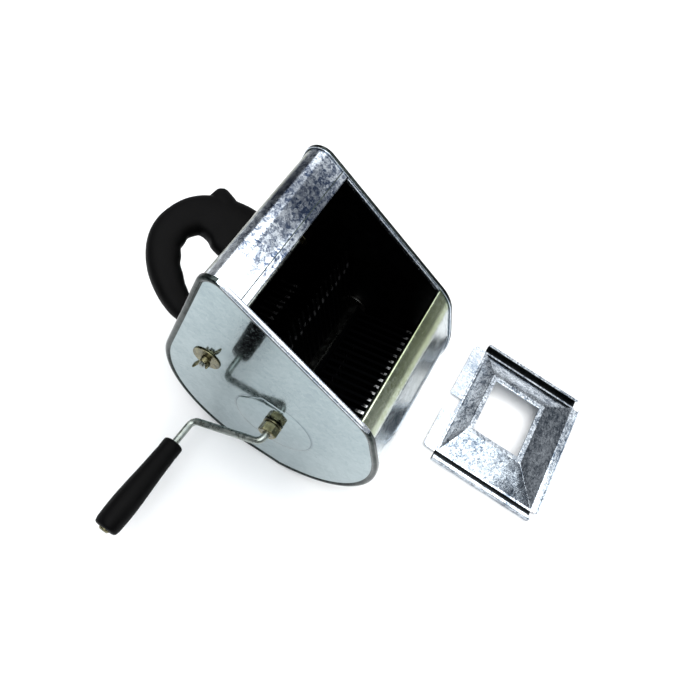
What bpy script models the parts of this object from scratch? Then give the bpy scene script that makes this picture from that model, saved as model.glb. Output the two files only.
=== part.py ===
"""Hand-cranked roughcast thrower with a detachable mouth reducer, metres, +Z up.

X runs along the axle from the crank-side cheek to the far cheek, +Y towards the carry handle,
and the mouth faces up and towards -Y. Sizes in Y and Z are measured from the belly's centre.
The root empty then puts the centre of the whole object's bounding box, at its lowest level,
at the world origin.
"""
import math

import bmesh
import bpy
from mathutils import Vector

# Casing
CASING_WIDTH = 0.230        # outside the rolled rims of the two cheeks
BELLY_RADIUS = 0.1585       # outer surface of the wrapped sheet
NOSE_RADIUS = 0.0575
NOSE_PROUD = 0.0085         # how far the nose under the mouth stands out of the belly's circle
NOSE_ANGLE = math.radians(133.6)
CORNER_RADIUS = 0.0205
CORNER_CENTRE = (0.1046, 0.2140)
FLAT_DEPTH = 0.007          # how far the standing flat is pressed into the belly
SHEET = 0.0010
GAP = 0.0003                # between pieces that touch
TOP_STRIP = 0.031           # sheet between the top corner and the mouth
MOUTH_HEM = 0.006           # edge folded into the casing along the mouth
CHEEK_SHEET = 0.0012
CHEEK_DISH = 0.0016         # how far the cheek's disc lies behind its rim
RIM_STAND = 0.0025          # how far the rim stands outside the wrapped sheet
RIM_DEPTH = 0.0070
RIM_BAND = 0.0050           # rim's width inside the sheet's outline
BOSS_RADIUS = 0.060
BOSS_HEIGHT = 0.0006
SIDE_STRIP_WIDTH = 0.0050
SIDE_STRIP_DEPTH = 0.010

# Axle, rotor and crank
AXLE = (-0.0125, -0.019)
SHAFT_RADIUS = 0.008
BUSH_WALL = 0.0040
BUSH_FLANGE_RADIUS = 0.020
BUSH_FLANGE = 0.003
HUB_HALF = 0.012            # half the side of the square hub
HUB_END_PLAY = 0.0014
TINE_CLEARANCE = 0.0065     # between a tine's tip and the standing flat
TINE_PITCH = 0.0114
TINE_SIDE_PLAY = 0.0010     # between the last tine and the striker bar's nut
TINE_WIDTH = 0.0045
TINE_SHEET = 0.0010
ROW_COUNT = 4
ROW_ANGLE = math.radians(70.0)
COMB_FOOT = 0.0090
COMB_ROOT = 0.0040
CLAMP_WIDTH = 0.0060
CLAMP_HEIGHT = 0.0020
ROTOR_WASHER_RADIUS = 0.014
ROTOR_WASHER = 0.002
ROTOR_NUT_FLATS = 0.024
ROTOR_NUT = 0.010
CRANK_NUT = 0.014
SHAFT_IN_CRANK_NUT = 0.009
SHAFT_PAST_NUT = 0.0015
CRANK_ROD_RADIUS = 0.005
CRANK_STANDOFF = 0.030      # first bend of the crank rod from the cheek's rim
CRANK_ARM = 0.1120
CRANK_ANGLE = math.radians(-30.0)
CRANK_LEAN = 0.008          # how far the arm's outer end leans away from the cheek
CRANK_BEND = 0.011
GRIP_TILT = math.radians(3.0)
GRIP_START = 0.040          # along the rod from the crank's second corner
GRIP_LENGTH = 0.138
GRIP_RADIUS = 0.0172
GRIP_NECK = 0.0136
GRIP_BORE_PLAY = 0.0003
RETAINER_RADIUS = 0.0075
RETAINER = 0.003

# Striker bar that the tines snap over
STRIKER_ANGLE = math.radians(31.35)  # of the bar's place, seen from the axle
STRIKER_RADIUS = 0.004
SNAP_GAP = 0.0022           # between the tines' tips and the bar at rest
STRIKER_TRAVEL = 0.008
STRIKER_PAST_RIM = 0.012
SLOT_PLAY = 0.0005
PLATE_WASHER_RADIUS = 0.020
PLATE_WASHER = 0.0016
WING_HUB_RADIUS = 0.0065
WING_HUB = 0.0075
WING_SPAN = 0.0150
WING_HEIGHT = 0.0075
WING_SHEET = 0.0024
WING_TURN = math.radians(-47.0)
INNER_WASHER_RADIUS = 0.012
INNER_WASHER = 0.0015
INNER_NUT_FLATS = 0.013
INNER_NUT = 0.0040           # thin, so that it stays beside the last tine

# Carry handle: stations along its arch, measured on the back wall
HANDLE_RISE = 0.060         # its middle plane above the foot of the back wall
HANDLE_NEAR_INSET = 0.026   # of the feet's centres from the ends of the casing
HANDLE_FAR_INSET = 0.068
HANDLE_REACH = 0.083
HANDLE_DEPTH = 0.016        # half the arch's size up and down the wall
SCREW_RADIUS = 0.0025
SCREW_DEPTH = 0.016
SCREW_HEAD_RADIUS = 0.005
SCREW_HEAD = 0.0025

# Reducer, lying beside the casing with the side that meets the mouth upwards
REDUCER_SHORT = 0.0090      # the tabs and the lip cover the rest of the mouth's length
REDUCER_PLACE = (0.151, -0.338)
REDUCER_SHEET = 0.0010
REDUCER_LEVEL = 0.006       # underside of the frame above the ground
REDUCER_RISE = 0.026
CHANNEL_PLAY_OUT = 0.0065    # room in a channel outside and inside the cheek's rim
CHANNEL_PLAY_IN = 0.0010
REDUCER_LEG = 0.012
REDUCER_RIM = 0.003         # flat border round the sloping walls
HOLE_LENGTH = 0.100
HOLE_DEPTH = 0.084
HOLE_SHIFT = 0.016          # of the hole towards the tabs
HOLE_LIP = 0.009
TAB_REACH = 0.022
TAB_INSET = 0.0135
TAB_NEAR_LENGTH = 0.078
TAB_NOTCH = 0.030
FRONT_FLANGE = 0.009
FRONT_LIP = 0.005

HALF_WIDTH = CASING_WIDTH / 2
DISC_INSIDE = CHEEK_DISH + CHEEK_SHEET
SHEET_END = DISC_INSIDE + GAP
REDUCER_SLOT = CHANNEL_PLAY_OUT + RIM_DEPTH + CHANNEL_PLAY_IN
REDUCER_LENGTH = CASING_WIDTH + 2 * (CHANNEL_PLAY_OUT + REDUCER_SHEET)
HANDLE_NEAR_FOOT = HANDLE_NEAR_INSET - HALF_WIDTH
HANDLE_FAR_FOOT = HALF_WIDTH - HANDLE_FAR_INSET
NOSE_REACH = BELLY_RADIUS + NOSE_PROUD - NOSE_RADIUS
NOSE_CENTRE = (NOSE_REACH * math.cos(NOSE_ANGLE), NOSE_REACH * math.sin(NOSE_ANGLE))
TINE_RADIUS = BELLY_RADIUS - FLAT_DEPTH - SHEET - TINE_CLEARANCE + AXLE[1]
STRIKER_REACH = TINE_RADIUS + SNAP_GAP + STRIKER_RADIUS
STRIKER = (AXLE[0] + STRIKER_REACH * math.cos(STRIKER_ANGLE),
           AXLE[1] + STRIKER_REACH * math.sin(STRIKER_ANGLE))
INNER_NUT_END = HALF_WIDTH - DISC_INSIDE - GAP - INNER_WASHER - GAP - INNER_NUT
COMB_ROOM = 2 * (INNER_NUT_END - TINE_SIDE_PLAY)
TINE_COUNT = int((COMB_ROOM - TINE_WIDTH) / TINE_PITCH) + 1
COMB_END = (TINE_PITCH * (TINE_COUNT - 1) + TINE_WIDTH) / 2
STANDING_LEVEL = -(BELLY_RADIUS - FLAT_DEPTH + RIM_STAND)
SIDES = {"crank_side": -1, "far_side": 1}
CIRCLES = (
    (NOSE_CENTRE, NOSE_RADIUS, 5),
    ((0.0, 0.0), BELLY_RADIUS, 30),
    (CORNER_CENTRE, CORNER_RADIUS, 9),
)


# ---------------------------------------------------------------- scene and object helpers

def clear_scene():
    """Remove every object of the scene."""
    for old in list(bpy.data.objects):
        bpy.data.objects.remove(old, do_unlink=True)


def make_material(name, colour, roughness, metallic):
    """Return a Principled BSDF material."""
    material = bpy.data.materials.new(name)
    material.use_nodes = True
    shader = material.node_tree.nodes["Principled BSDF"]
    shader.inputs["Base Color"].default_value = (*colour, 1.0)
    shader.inputs["Roughness"].default_value = roughness
    shader.inputs["Metallic"].default_value = metallic
    material.diffuse_color = (*colour, 1.0)
    return material


def make_empty(name, parent=None, place=(0.0, 0.0, 0.0)):
    """Return an empty at a place given in its parent's space."""
    empty = bpy.data.objects.new(name, None)
    empty.empty_display_size = 0.03
    empty.location = place
    empty.parent = parent
    bpy.context.scene.collection.objects.link(empty)
    return empty


def make_object(name, shape, material, parent, place=(0.0, 0.0, 0.0), smooth=True):
    """Turn a bmesh in casing coordinates into an object whose origin is at place."""
    origin = Vector(place)
    bmesh.ops.remove_doubles(shape, verts=shape.verts, dist=0.00001)
    bmesh.ops.recalc_face_normals(shape, faces=shape.faces)
    bmesh.ops.translate(shape, verts=shape.verts, vec=-origin)
    mesh = bpy.data.meshes.new(name)
    shape.to_mesh(mesh)
    shape.free()
    if smooth:
        mesh.shade_smooth()
        mesh.set_sharp_from_angle(angle=math.radians(35))
    if material:
        mesh.materials.append(material)
    made = bpy.data.objects.new(name, mesh)
    parent_place = parent_origin(parent)
    made.location = origin - parent_place
    made.parent = parent
    bpy.context.scene.collection.objects.link(made)
    return made


def parent_origin(parent):
    """Return an empty's place in casing coordinates."""
    place = Vector((0.0, 0.0, 0.0))
    while parent is not None and parent.parent is not None:
        place += parent.location
        parent = parent.parent
    return place


def combine(target, shape, operation, label):
    """Cut a closed bmesh from an object, or join it on, with an exact Boolean."""
    tool = make_object(f"{target.name}_{label}", shape, None, target.parent, smooth=False)
    tool.hide_render = True
    tool.display_type = "WIRE"
    change = target.modifiers.new(label, "BOOLEAN")
    change.operation = operation
    change.solver = "EXACT"
    change.object = tool


# ---------------------------------------------------------------- mesh helpers

def loft(shape, rings, closed=False):
    """Join rings of equal length with faces; cap both ends unless the rings close."""
    loops = [[shape.verts.new(point) for point in ring] for ring in rings]
    count = len(loops[0])
    pairs = list(zip(loops, loops[1:]))
    if closed:
        pairs.append((loops[-1], loops[0]))
    else:
        shape.faces.new(loops[0])
        shape.faces.new(loops[-1])
    for first, second in pairs:
        for i in range(count):
            j = (i + 1) % count
            shape.faces.new((first[i], first[j], second[j], second[i]))


def prism(outline, x_low, x_high):
    """Return a bmesh of a (y, z) outline run along X."""
    shape = bmesh.new()
    loft(shape, [[(x, y, z) for y, z in outline] for x in (x_low, x_high)])
    return shape


def block(low, high):
    """Return a bmesh of a box between two corners."""
    outline = [(low[1], low[2]), (high[1], low[2]), (high[1], high[2]), (low[1], high[2])]
    return prism(outline, low[0], high[0])


def turned(profile, centre, count, axis=Vector((1.0, 0.0, 0.0)), solid=False):
    """Return a bmesh of (along, radius) points turned about an axis through centre."""
    turn = axis.to_track_quat("X", "Z").to_matrix()
    rings = []
    for along, radius in profile:
        ring = []
        for i in range(count):
            angle = 2 * math.pi * i / count
            local = Vector((along, radius * math.cos(angle), radius * math.sin(angle)))
            ring.append(turn @ local + Vector(centre))
        rings.append(ring)
    shape = bmesh.new()
    loft(shape, rings, closed=not solid)
    return shape


def tube(path, radius, count):
    """Return a bmesh of a round rod along a path."""
    rings = []
    side = None
    for i, point in enumerate(path):
        ahead = (path[min(i + 1, len(path) - 1)] - path[max(i - 1, 0)]).normalized()
        if side is None:
            side = ahead.orthogonal().normalized()
        side = (side - ahead * side.dot(ahead)).normalized()
        other = ahead.cross(side)
        ring = []
        for k in range(count):
            angle = 2 * math.pi * k / count
            ring.append(point + radius * (math.cos(angle) * side + math.sin(angle) * other))
        rings.append(ring)
    shape = bmesh.new()
    loft(shape, rings)
    return shape


def rounded_path(corners, radius, steps):
    """Return the points of a polyline whose inner corners are arcs of one radius."""
    path = [corners[0]]
    for before, corner, after in zip(corners, corners[1:], corners[2:]):
        back = (before - corner).normalized()
        forth = (after - corner).normalized()
        half = back.angle(forth) / 2
        centre = corner + (back + forth).normalized() * radius / math.sin(half)
        start = (corner + back * radius / math.tan(half) - centre).normalized()
        end = (corner + forth * radius / math.tan(half) - centre).normalized()
        path += [centre + start.slerp(end, k / steps) * radius for k in range(steps + 1)]
    path.append(corners[-1])
    return path


def hexagon(flats, centre):
    """Return the six corners of a hexagon in the (y, z) plane."""
    reach = flats / math.sqrt(3)
    return [(centre[0] + reach * math.cos(math.radians(60 * i + 20)),
             centre[1] + reach * math.sin(math.radians(60 * i + 20))) for i in range(6)]


def ring_piece(centre, inner, outer, x_low, x_high, count=24):
    """Return a bmesh of a washer on an X axis."""
    profile = ((x_low, inner), (x_low, outer), (x_high, outer), (x_high, inner))
    return turned(profile, (0.0, *centre), count)


def nut_piece(centre, flats, bore, x_low, x_high):
    """Return a bmesh of a hexagon nut with a round bore on an X axis."""
    sides = 24
    shape = bmesh.new()
    corners = hexagon(flats, centre)
    outer = []
    for i in range(sides):
        k, step = divmod(i, sides // 6)
        first, second = corners[k], corners[(k + 1) % 6]
        part = step / (sides // 6)
        outer.append((first[0] + (second[0] - first[0]) * part,
                      first[1] + (second[1] - first[1]) * part))
    turn = math.radians(20)
    inner = [(centre[0] + bore * math.cos(2 * math.pi * i / sides + turn),
              centre[1] + bore * math.sin(2 * math.pi * i / sides + turn)) for i in range(sides)]
    rings = [[(x, *p) for p in ring] for x, ring in
             ((x_low, inner), (x_low, outer), (x_high, outer), (x_high, inner))]
    loft(shape, rings, closed=True)
    return shape


# ---------------------------------------------------------------- casing outline

def tangent_angle(first, second):
    """Return the outward normal's angle of the line that wraps two circles in turn."""
    (y1, z1), r1, _ = first
    (y2, z2), r2, _ = second
    gap = math.hypot(y2 - y1, z2 - z1)
    return math.atan2(z2 - z1, y2 - y1) - math.acos((r1 - r2) / gap)


FRONT_ANGLE = tangent_angle(CIRCLES[2], CIRCLES[0]) % (2 * math.pi)
NOSE_END = tangent_angle(CIRCLES[0], CIRCLES[1]) % (2 * math.pi)
BACK_ANGLE = tangent_angle(CIRCLES[1], CIRCLES[2]) % (2 * math.pi)
FRONT_OUT = Vector((0.0, math.cos(FRONT_ANGLE), math.sin(FRONT_ANGLE)))
FRONT_UP = Vector((0.0, math.sin(FRONT_ANGLE), -math.cos(FRONT_ANGLE)))
BACK_OUT = Vector((0.0, math.cos(BACK_ANGLE), math.sin(BACK_ANGLE)))
BACK_UP = Vector((0.0, -math.sin(BACK_ANGLE), math.cos(BACK_ANGLE)))


def arc(centre, radius, start, end, steps):
    """Return (y, z) points along an arc."""
    angles = [start + (end - start) * i / steps for i in range(steps + 1)]
    return [(centre[0] + radius * math.cos(a), centre[1] + radius * math.sin(a))
            for a in angles]


def casing_outline(offset):
    """Return the casing's outline, from the mouth's lower edge round to the top corner."""
    nose, belly, corner = CIRCLES
    full = belly[1] + offset
    half_flat = math.acos((full - FLAT_DEPTH) / full)
    low = 1.5 * math.pi - half_flat
    high = 1.5 * math.pi + half_flat
    back = BACK_ANGLE + 2 * math.pi
    near_steps = round(belly[2] * (low - NOSE_END) / (back - NOSE_END))
    points = arc(nose[0], nose[1] + offset, FRONT_ANGLE, NOSE_END, nose[2])
    points += arc(belly[0], full, NOSE_END, low, near_steps)
    points += arc(belly[0], full, high, back, belly[2] - near_steps)
    points += arc(corner[0], corner[1] + offset, BACK_ANGLE, FRONT_ANGLE, corner[2])
    return points


def mouth_point(from_corner, depth):
    """Return a (y, z) point on the front slope, down from the top corner and inwards."""
    start = Vector((0.0, *CORNER_CENTRE)) + FRONT_OUT * (CORNER_RADIUS - depth)
    point = start - FRONT_UP * from_corner
    return point.y, point.z


def mouth_length():
    """Return the length of the mouth along the slope."""
    low = Vector((0.0, *casing_outline(0.0)[0]))
    top = Vector((0.0, *mouth_point(TOP_STRIP, 0.0)))
    return (top - low).length


def thick_line(path, thickness):
    """Return the closed outline of a sheet whose middle follows a (y, z) path."""
    points = [Vector(p) for p in path]
    sides = []
    for i, point in enumerate(points):
        before = (point - points[i - 1]).normalized() if i else None
        after = (points[i + 1] - point).normalized() if i + 1 < len(points) else None
        first = before or after
        last = after or before
        normal = Vector((-first.y, first.x)) + Vector((-last.y, last.x))
        normal.normalize()
        scale = thickness / 2 / max(0.3, normal.dot(Vector((-first.y, first.x))))
        sides.append((point + normal * scale, point - normal * scale))
    outline = [tuple(a) for a, _ in sides] + [tuple(b) for _, b in reversed(sides)]
    return outline


# ---------------------------------------------------------------- casing pieces

def build_cheek(side, root, material):
    """One end plate: a dished disc with a rolled rim that hoops the wrapped sheet."""
    sign = SIDES[side]
    section = (
        (CHEEK_DISH, -RIM_BAND), (0.0, -RIM_BAND + CHEEK_DISH),
        (0.0, RIM_STAND - 0.0008), (0.0008, RIM_STAND),
        (RIM_DEPTH, RIM_STAND), (RIM_DEPTH, GAP), (DISC_INSIDE, GAP),
    )
    rings = []
    for inset, offset in section:
        x = sign * (HALF_WIDTH - inset)
        rings.append([(x, y, z) for y, z in casing_outline(offset)])
    shape = bmesh.new()
    loft(shape, rings)
    cheek = make_object(f"cheek_{side}", shape, material, root)
    face = sign * (HALF_WIDTH - CHEEK_DISH)
    low, high = sorted((face + sign * BOSS_HEIGHT, face - sign * CHEEK_SHEET / 2))
    boss = turned(((low, BOSS_RADIUS), (high, BOSS_RADIUS)), (0, *AXLE), 48, solid=True)
    combine(cheek, boss, "UNION", "boss")
    reach = HALF_WIDTH + 0.01
    near, far = sorted((sign * reach, sign * (HALF_WIDTH - RIM_DEPTH)))
    hole = SHAFT_RADIUS + GAP + BUSH_WALL + GAP
    bore = turned(((near, hole), (far, hole)), (0, *AXLE), 24, solid=True)
    combine(cheek, bore, "DIFFERENCE", "axle_hole")
    combine(cheek, striker_slot(near, far), "DIFFERENCE", "striker_slot")
    return cheek


def striker_slot(x_low, x_high):
    """Cutter for the slot in which the striker bar is set."""
    radius = STRIKER_RADIUS + SLOT_PLAY
    way = striker_way()
    heading = math.atan2(way.z, way.y)
    end = (STRIKER[0] + way.y * STRIKER_TRAVEL, STRIKER[1] + way.z * STRIKER_TRAVEL)
    outline = arc(STRIKER, radius, heading + math.pi / 2, heading + 1.5 * math.pi, 8)
    outline += arc(end, radius, heading - math.pi / 2, heading + math.pi / 2, 8)
    return prism(outline, x_low, x_high)


def striker_way():
    """Direction in which the striker bar moves away from the rotor."""
    return Vector((0.0, STRIKER[0] - AXLE[0], STRIKER[1] - AXLE[1])).normalized()


def build_wrapper(root, material):
    """The sheet wrapped round belly, back and top, with its edges folded in at the mouth."""
    middle = casing_outline(-SHEET / 2)
    inward = -FRONT_OUT
    first = Vector((0.0, *middle[0]))
    last = Vector((0.0, *mouth_point(TOP_STRIP, SHEET / 2)))
    start = first + inward * MOUTH_HEM
    finish = last + inward * MOUTH_HEM
    path = [(start.y, start.z), *middle, (last.y, last.z), (finish.y, finish.z)]
    x_high = HALF_WIDTH - SHEET_END
    shape = prism(thick_line(path, SHEET), -x_high, x_high)
    wrapper = make_object("wrapper_sheet", shape, material, root)
    for foot in (HANDLE_NEAR_FOOT, HANDLE_FAR_FOOT):
        hole = screw_turned(foot, SCREW_RADIUS + GAP, -0.008, 0.004)
        label = "near_screw_hole" if foot < 0 else "far_screw_hole"
        combine(wrapper, hole, "DIFFERENCE", label)


def build_side_strip(side, root, material):
    """Folded angle between the mouth's end and the cheek."""
    sign = SIDES[side]
    outside = HALF_WIDTH - SHEET_END
    inside = outside - SIDE_STRIP_WIDTH
    section = (
        (outside, 0.0), (outside, SIDE_STRIP_DEPTH), (outside - SHEET, SIDE_STRIP_DEPTH),
        (outside - SHEET, SHEET), (inside, SHEET), (inside, 0.0),
    )
    rings = []
    start = TOP_STRIP + SHEET + GAP
    finish = TOP_STRIP + mouth_length() - SHEET - GAP
    for along in (start, finish):
        ring = []
        for x, depth in section:
            y, z = mouth_point(along, depth)
            ring.append((sign * x, y, z))
        rings.append(ring)
    shape = bmesh.new()
    loft(shape, rings)
    make_object(f"mouth_strip_{side}", shape, material, root, smooth=False)


def build_bush(side, root, material):
    """Flanged bush that carries the shaft in a cheek."""
    sign = SIDES[side]
    bore = SHAFT_RADIUS + GAP
    sleeve = bore + BUSH_WALL
    end = HALF_WIDTH - SHEET_END
    section = (
        (HALF_WIDTH - 0.0004, bore), (HALF_WIDTH - 0.0004, sleeve), (end, sleeve),
        (end, BUSH_FLANGE_RADIUS), (end - BUSH_FLANGE, BUSH_FLANGE_RADIUS),
        (end - BUSH_FLANGE, bore),
    )
    shape = turned([(sign * x, r) for x, r in section], (0, *AXLE), 24)
    make_object(f"axle_bush_{side}", shape, material, root)


def wall_point(x, out, up):
    """Return a point over the back wall: along X, out from its face, up from its foot."""
    return Vector((x, 0.0, 0.0)) + BACK_OUT * (BELLY_RADIUS + out) + BACK_UP * up


def handle_stations():
    """Stations of the handle's arch: x, reach from the wall, half width, half depth, tilt."""
    near, far = HANDLE_NEAR_FOOT, HANDLE_FAR_FOOT
    reach = HANDLE_REACH
    return (
        (near - 0.001, 0.0, 0.0160, 0.80, 90),
        (near, 0.013, 0.0165, 0.86, 80),
        (near + 0.010, reach * 0.40, 0.0190, 0.94, 63),
        (near + 0.027, reach * 0.67, 0.0208, 1.0, 47),
        (near + 0.050, reach * 0.88, 0.0220, 1.0, 22),
        (near + 0.074, reach * 0.96, 0.0228, 1.0, 4),
        (far - 0.037, reach * 0.91, 0.0245, 1.0, -15),
        (far - 0.021, reach * 0.76, 0.0300, 1.0, -40),
        (far - 0.012, reach * 0.54, 0.0370, 1.0, -66),
        (far - 0.007, reach * 0.31, 0.0415, 1.02, -84),
        (far - 0.006, 0.010, 0.0435, 1.06, -90),
        (far - 0.006, 0.0, 0.0445, 1.10, -90),
    )


def build_handle(root, material):
    """Moulded carry handle: an arch along X on the back wall, with a horn at its far end."""
    sides = 14
    rings = []
    for x, reach, half, depth, tilt in handle_stations():
        angle = math.radians(tilt)
        across_x = -math.sin(angle)
        across_out = math.cos(angle)
        ring = []
        for i in range(sides):
            turn = 2 * math.pi * i / sides
            wide = half * math.copysign(abs(math.cos(turn)) ** 0.8, math.cos(turn))
            deep = HANDLE_DEPTH * depth * math.copysign(abs(math.sin(turn)) ** 0.8, math.sin(turn))
            ring.append(wall_point(x + across_x * wide, GAP + reach + across_out * wide,
                                   HANDLE_RISE + deep))
        rings.append(ring)
    shape = bmesh.new()
    loft(shape, rings)
    handle = make_object("carry_handle", shape, material, root)
    combine(handle, handle_horn(), "UNION", "horn")
    for foot in (HANDLE_NEAR_FOOT, HANDLE_FAR_FOOT):
        hole = screw_turned(foot, SCREW_RADIUS + GAP, -0.006, SCREW_DEPTH + GAP)
        label = "near_screw_hole" if foot < 0 else "far_screw_hole"
        combine(handle, hole, "DIFFERENCE", label)


def handle_horn():
    """The pointed stop that stands out of the handle's far shoulder."""
    horn = (
        (HANDLE_FAR_FOOT - 0.004, 0.040, 0.026, 0.95), (HANDLE_FAR_FOOT + 0.012, 0.052, 0.0205, 0.85),
        (HANDLE_FAR_FOOT + 0.024, 0.061, 0.013, 0.65), (HANDLE_FAR_FOOT + 0.0325, 0.0675, 0.006, 0.4),
    )
    heading = math.radians(35)
    rings = []
    for x, reach, half, depth in horn:
        ring = []
        for i in range(10):
            turn = 2 * math.pi * i / 10
            wide = half * math.cos(turn)
            deep = HANDLE_DEPTH * depth * math.sin(turn)
            ring.append(wall_point(x - math.sin(heading) * wide,
                                   reach + math.cos(heading) * wide, HANDLE_RISE + deep))
        rings.append(ring)
    shape = bmesh.new()
    loft(shape, rings)
    return shape


def screw_turned(foot, radius, start, end):
    """Return a round bar through the back wall at one of the handle's feet."""
    profile = ((start, radius), (end, radius))
    return turned(profile, wall_point(foot, 0.0, HANDLE_RISE), 12, BACK_OUT, solid=True)


def build_handle_screw(name, foot, root, material):
    """Pan-head screw from inside the casing into a foot of the handle."""
    head = -SHEET - GAP
    profile = (
        (head - SCREW_HEAD, SCREW_HEAD_RADIUS * 0.7), (head - SCREW_HEAD * 0.5, SCREW_HEAD_RADIUS),
        (head, SCREW_HEAD_RADIUS), (head, SCREW_RADIUS), (SCREW_DEPTH, SCREW_RADIUS),
    )
    place = wall_point(foot, 0.0, HANDLE_RISE)
    make_object(name, turned(profile, place, 16, BACK_OUT, solid=True), material, root)


# ---------------------------------------------------------------- rotor and crank

def build_hub(rotor, material):
    """Square hub with a round journal at each end."""
    count = 16
    inner = HALF_WIDTH - SHEET_END - BUSH_FLANGE - HUB_END_PLAY
    crank_end = -(HALF_WIDTH + crank_nut_start() + SHAFT_IN_CRANK_NUT)
    far_end = HALF_WIDTH + GAP + ROTOR_WASHER + GAP + ROTOR_NUT + SHAFT_PAST_NUT
    square = []
    for i in range(count):
        angle = 2 * math.pi * i / count
        reach = HUB_HALF / max(abs(math.cos(angle)), abs(math.sin(angle)))
        square.append((reach, angle + ROW_ANGLE))
    rings = []
    for x, is_square in ((crank_end, 0), (-inner, 0), (-inner, 1), (inner, 1), (inner, 0),
                         (far_end, 0)):
        ring = []
        for reach, angle in square:
            radius = reach if is_square else SHAFT_RADIUS
            ring.append((x, AXLE[0] + radius * math.cos(angle),
                         AXLE[1] + radius * math.sin(angle)))
        rings.append(ring)
    shape = bmesh.new()
    loft(shape, rings)
    make_object("rotor_hub", shape, material, rotor, (0, *AXLE))


def crank_nut_start():
    """Distance of the crank nut from the rim's face."""
    return GAP + ROTOR_WASHER + GAP


def row_point(angle, x, across, out):
    """Return a point on a tine row: along X, across the hub's face, out from the axle."""
    y = AXLE[0] + out * math.cos(angle) - across * math.sin(angle)
    z = AXLE[1] + out * math.sin(angle) + across * math.cos(angle)
    return x, y, z


def comb_outline():
    """Return the (x, out) outline of a flat comb with its tines."""
    root = HUB_HALF + GAP
    top = root + COMB_ROOT
    half = TINE_WIDTH / 2
    first = half - COMB_END
    outline = [(COMB_END, root), (-COMB_END, root)]
    for i in range(TINE_COUNT):
        x = first + i * TINE_PITCH
        outline += [(x - half, top)] if i else []
        outline += [(x - half * 0.8, TINE_RADIUS), (x + half * 0.8, TINE_RADIUS)]
        outline += [(x + half, top)] if i < TINE_COUNT - 1 else []
    return outline


def build_comb(number, angle, rotor, material):
    """Spring-steel comb: a row of tines on a foot that lies on the hub."""
    shape = bmesh.new()
    rings = []
    for across in (0.0, TINE_SHEET):
        rings.append([row_point(angle, x, across, out) for x, out in comb_outline()])
    loft(shape, rings)
    comb = make_object(f"tine_comb_{number}", shape, material, rotor, (0, *AXLE), False)
    low = HUB_HALF + GAP
    foot = bmesh.new()
    corners = ((-COMB_FOOT, low), (TINE_SHEET / 2, low), (TINE_SHEET / 2, low + TINE_SHEET),
               (-COMB_FOOT, low + TINE_SHEET))
    ends = (-COMB_END, COMB_END)
    loft(foot, [[row_point(angle, x, *corner) for corner in corners] for x in ends])
    combine(comb, foot, "UNION", "foot")


def build_clamp_bar(number, angle, rotor, material):
    """Bar that holds a comb's foot down on the hub."""
    low = HUB_HALF + GAP + TINE_SHEET + GAP
    left = -COMB_FOOT + 0.0005
    corners = ((left, low), (left + CLAMP_WIDTH, low), (left + CLAMP_WIDTH, low + CLAMP_HEIGHT),
               (left, low + CLAMP_HEIGHT))
    shape = bmesh.new()
    ends = (-COMB_END, COMB_END)
    loft(shape, [[row_point(angle, x, *corner) for corner in corners] for x in ends])
    make_object(f"clamp_bar_{number}", shape, material, rotor, (0, *AXLE), False)


def crank_corners():
    """Return the crank rod's corners and the direction of its grip end."""
    way = Vector((0.0, math.cos(CRANK_ANGLE), math.sin(CRANK_ANGLE)))
    outward = Vector((-1.0, 0.0, 0.0))
    axis = Vector((-HALF_WIDTH, *AXLE))
    start = axis + outward * (crank_nut_start() + SHAFT_IN_CRANK_NUT + GAP)
    first = axis + outward * CRANK_STANDOFF
    second = first + way * CRANK_ARM + outward * CRANK_LEAN
    heading = (outward * math.cos(GRIP_TILT) + way * math.sin(GRIP_TILT)).normalized()
    return start, first, second, heading


def build_crank(rotor, materials):
    """Crank nut, bent rod and the retainer at the rod's end."""
    start, first, second, heading = crank_corners()
    nut_low = HALF_WIDTH + crank_nut_start()
    middle = nut_low + SHAFT_IN_CRANK_NUT + GAP
    outer = nut_low + CRANK_NUT
    nut = nut_piece(AXLE, ROTOR_NUT_FLATS, CRANK_ROD_RADIUS + GAP, -outer, -nut_low)
    crank_nut = make_object("crank_nut", nut, materials["zinc"], rotor, (0, *AXLE))
    bore = SHAFT_RADIUS + GAP
    socket = turned(((-middle, bore), (-nut_low + 0.005, bore)), (0, *AXLE), 24, solid=True)
    combine(crank_nut, socket, "DIFFERENCE", "shaft_socket")
    end = second + heading * (GRIP_START + GRIP_LENGTH + GAP + RETAINER)
    rod = tube(rounded_path([start, first, second, end], CRANK_BEND, 6), CRANK_ROD_RADIUS, 16)
    make_object("crank_rod", rod, materials["rod"], rotor, (0, *AXLE))
    place = second + heading * (GRIP_START + GRIP_LENGTH + GAP)
    profile = ((0.0, CRANK_ROD_RADIUS + GAP), (0.0, RETAINER_RADIUS),
               (RETAINER, RETAINER_RADIUS * 0.8), (RETAINER, CRANK_ROD_RADIUS + GAP))
    cap = turned(profile, place, 20, heading)
    make_object("grip_retainer", cap, materials["zinc"], rotor, (0, *AXLE))


def grip_profile():
    """Return the grip's (along, radius) outline, outside and bore."""
    bore = CRANK_ROD_RADIUS + GRIP_BORE_PLAY
    swell = GRIP_RADIUS - GRIP_NECK
    outside = [(0.0, GRIP_NECK - 0.001), (0.002, GRIP_NECK + 0.0010)]
    steps = 9
    for i in range(1, steps):
        part = i / steps
        lift = math.sin(math.pi * min(1.0, part * 0.72 + 0.02) ** 1.3) ** 2
        outside.append((0.002 + (GRIP_LENGTH - 0.005) * part, GRIP_NECK + 0.001 + swell * lift))
    outside += [(GRIP_LENGTH - 0.002, GRIP_NECK + swell * 0.75),
                (GRIP_LENGTH, GRIP_NECK + swell * 0.25)]
    return outside + [(GRIP_LENGTH, bore), (0.0, bore)]


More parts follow.
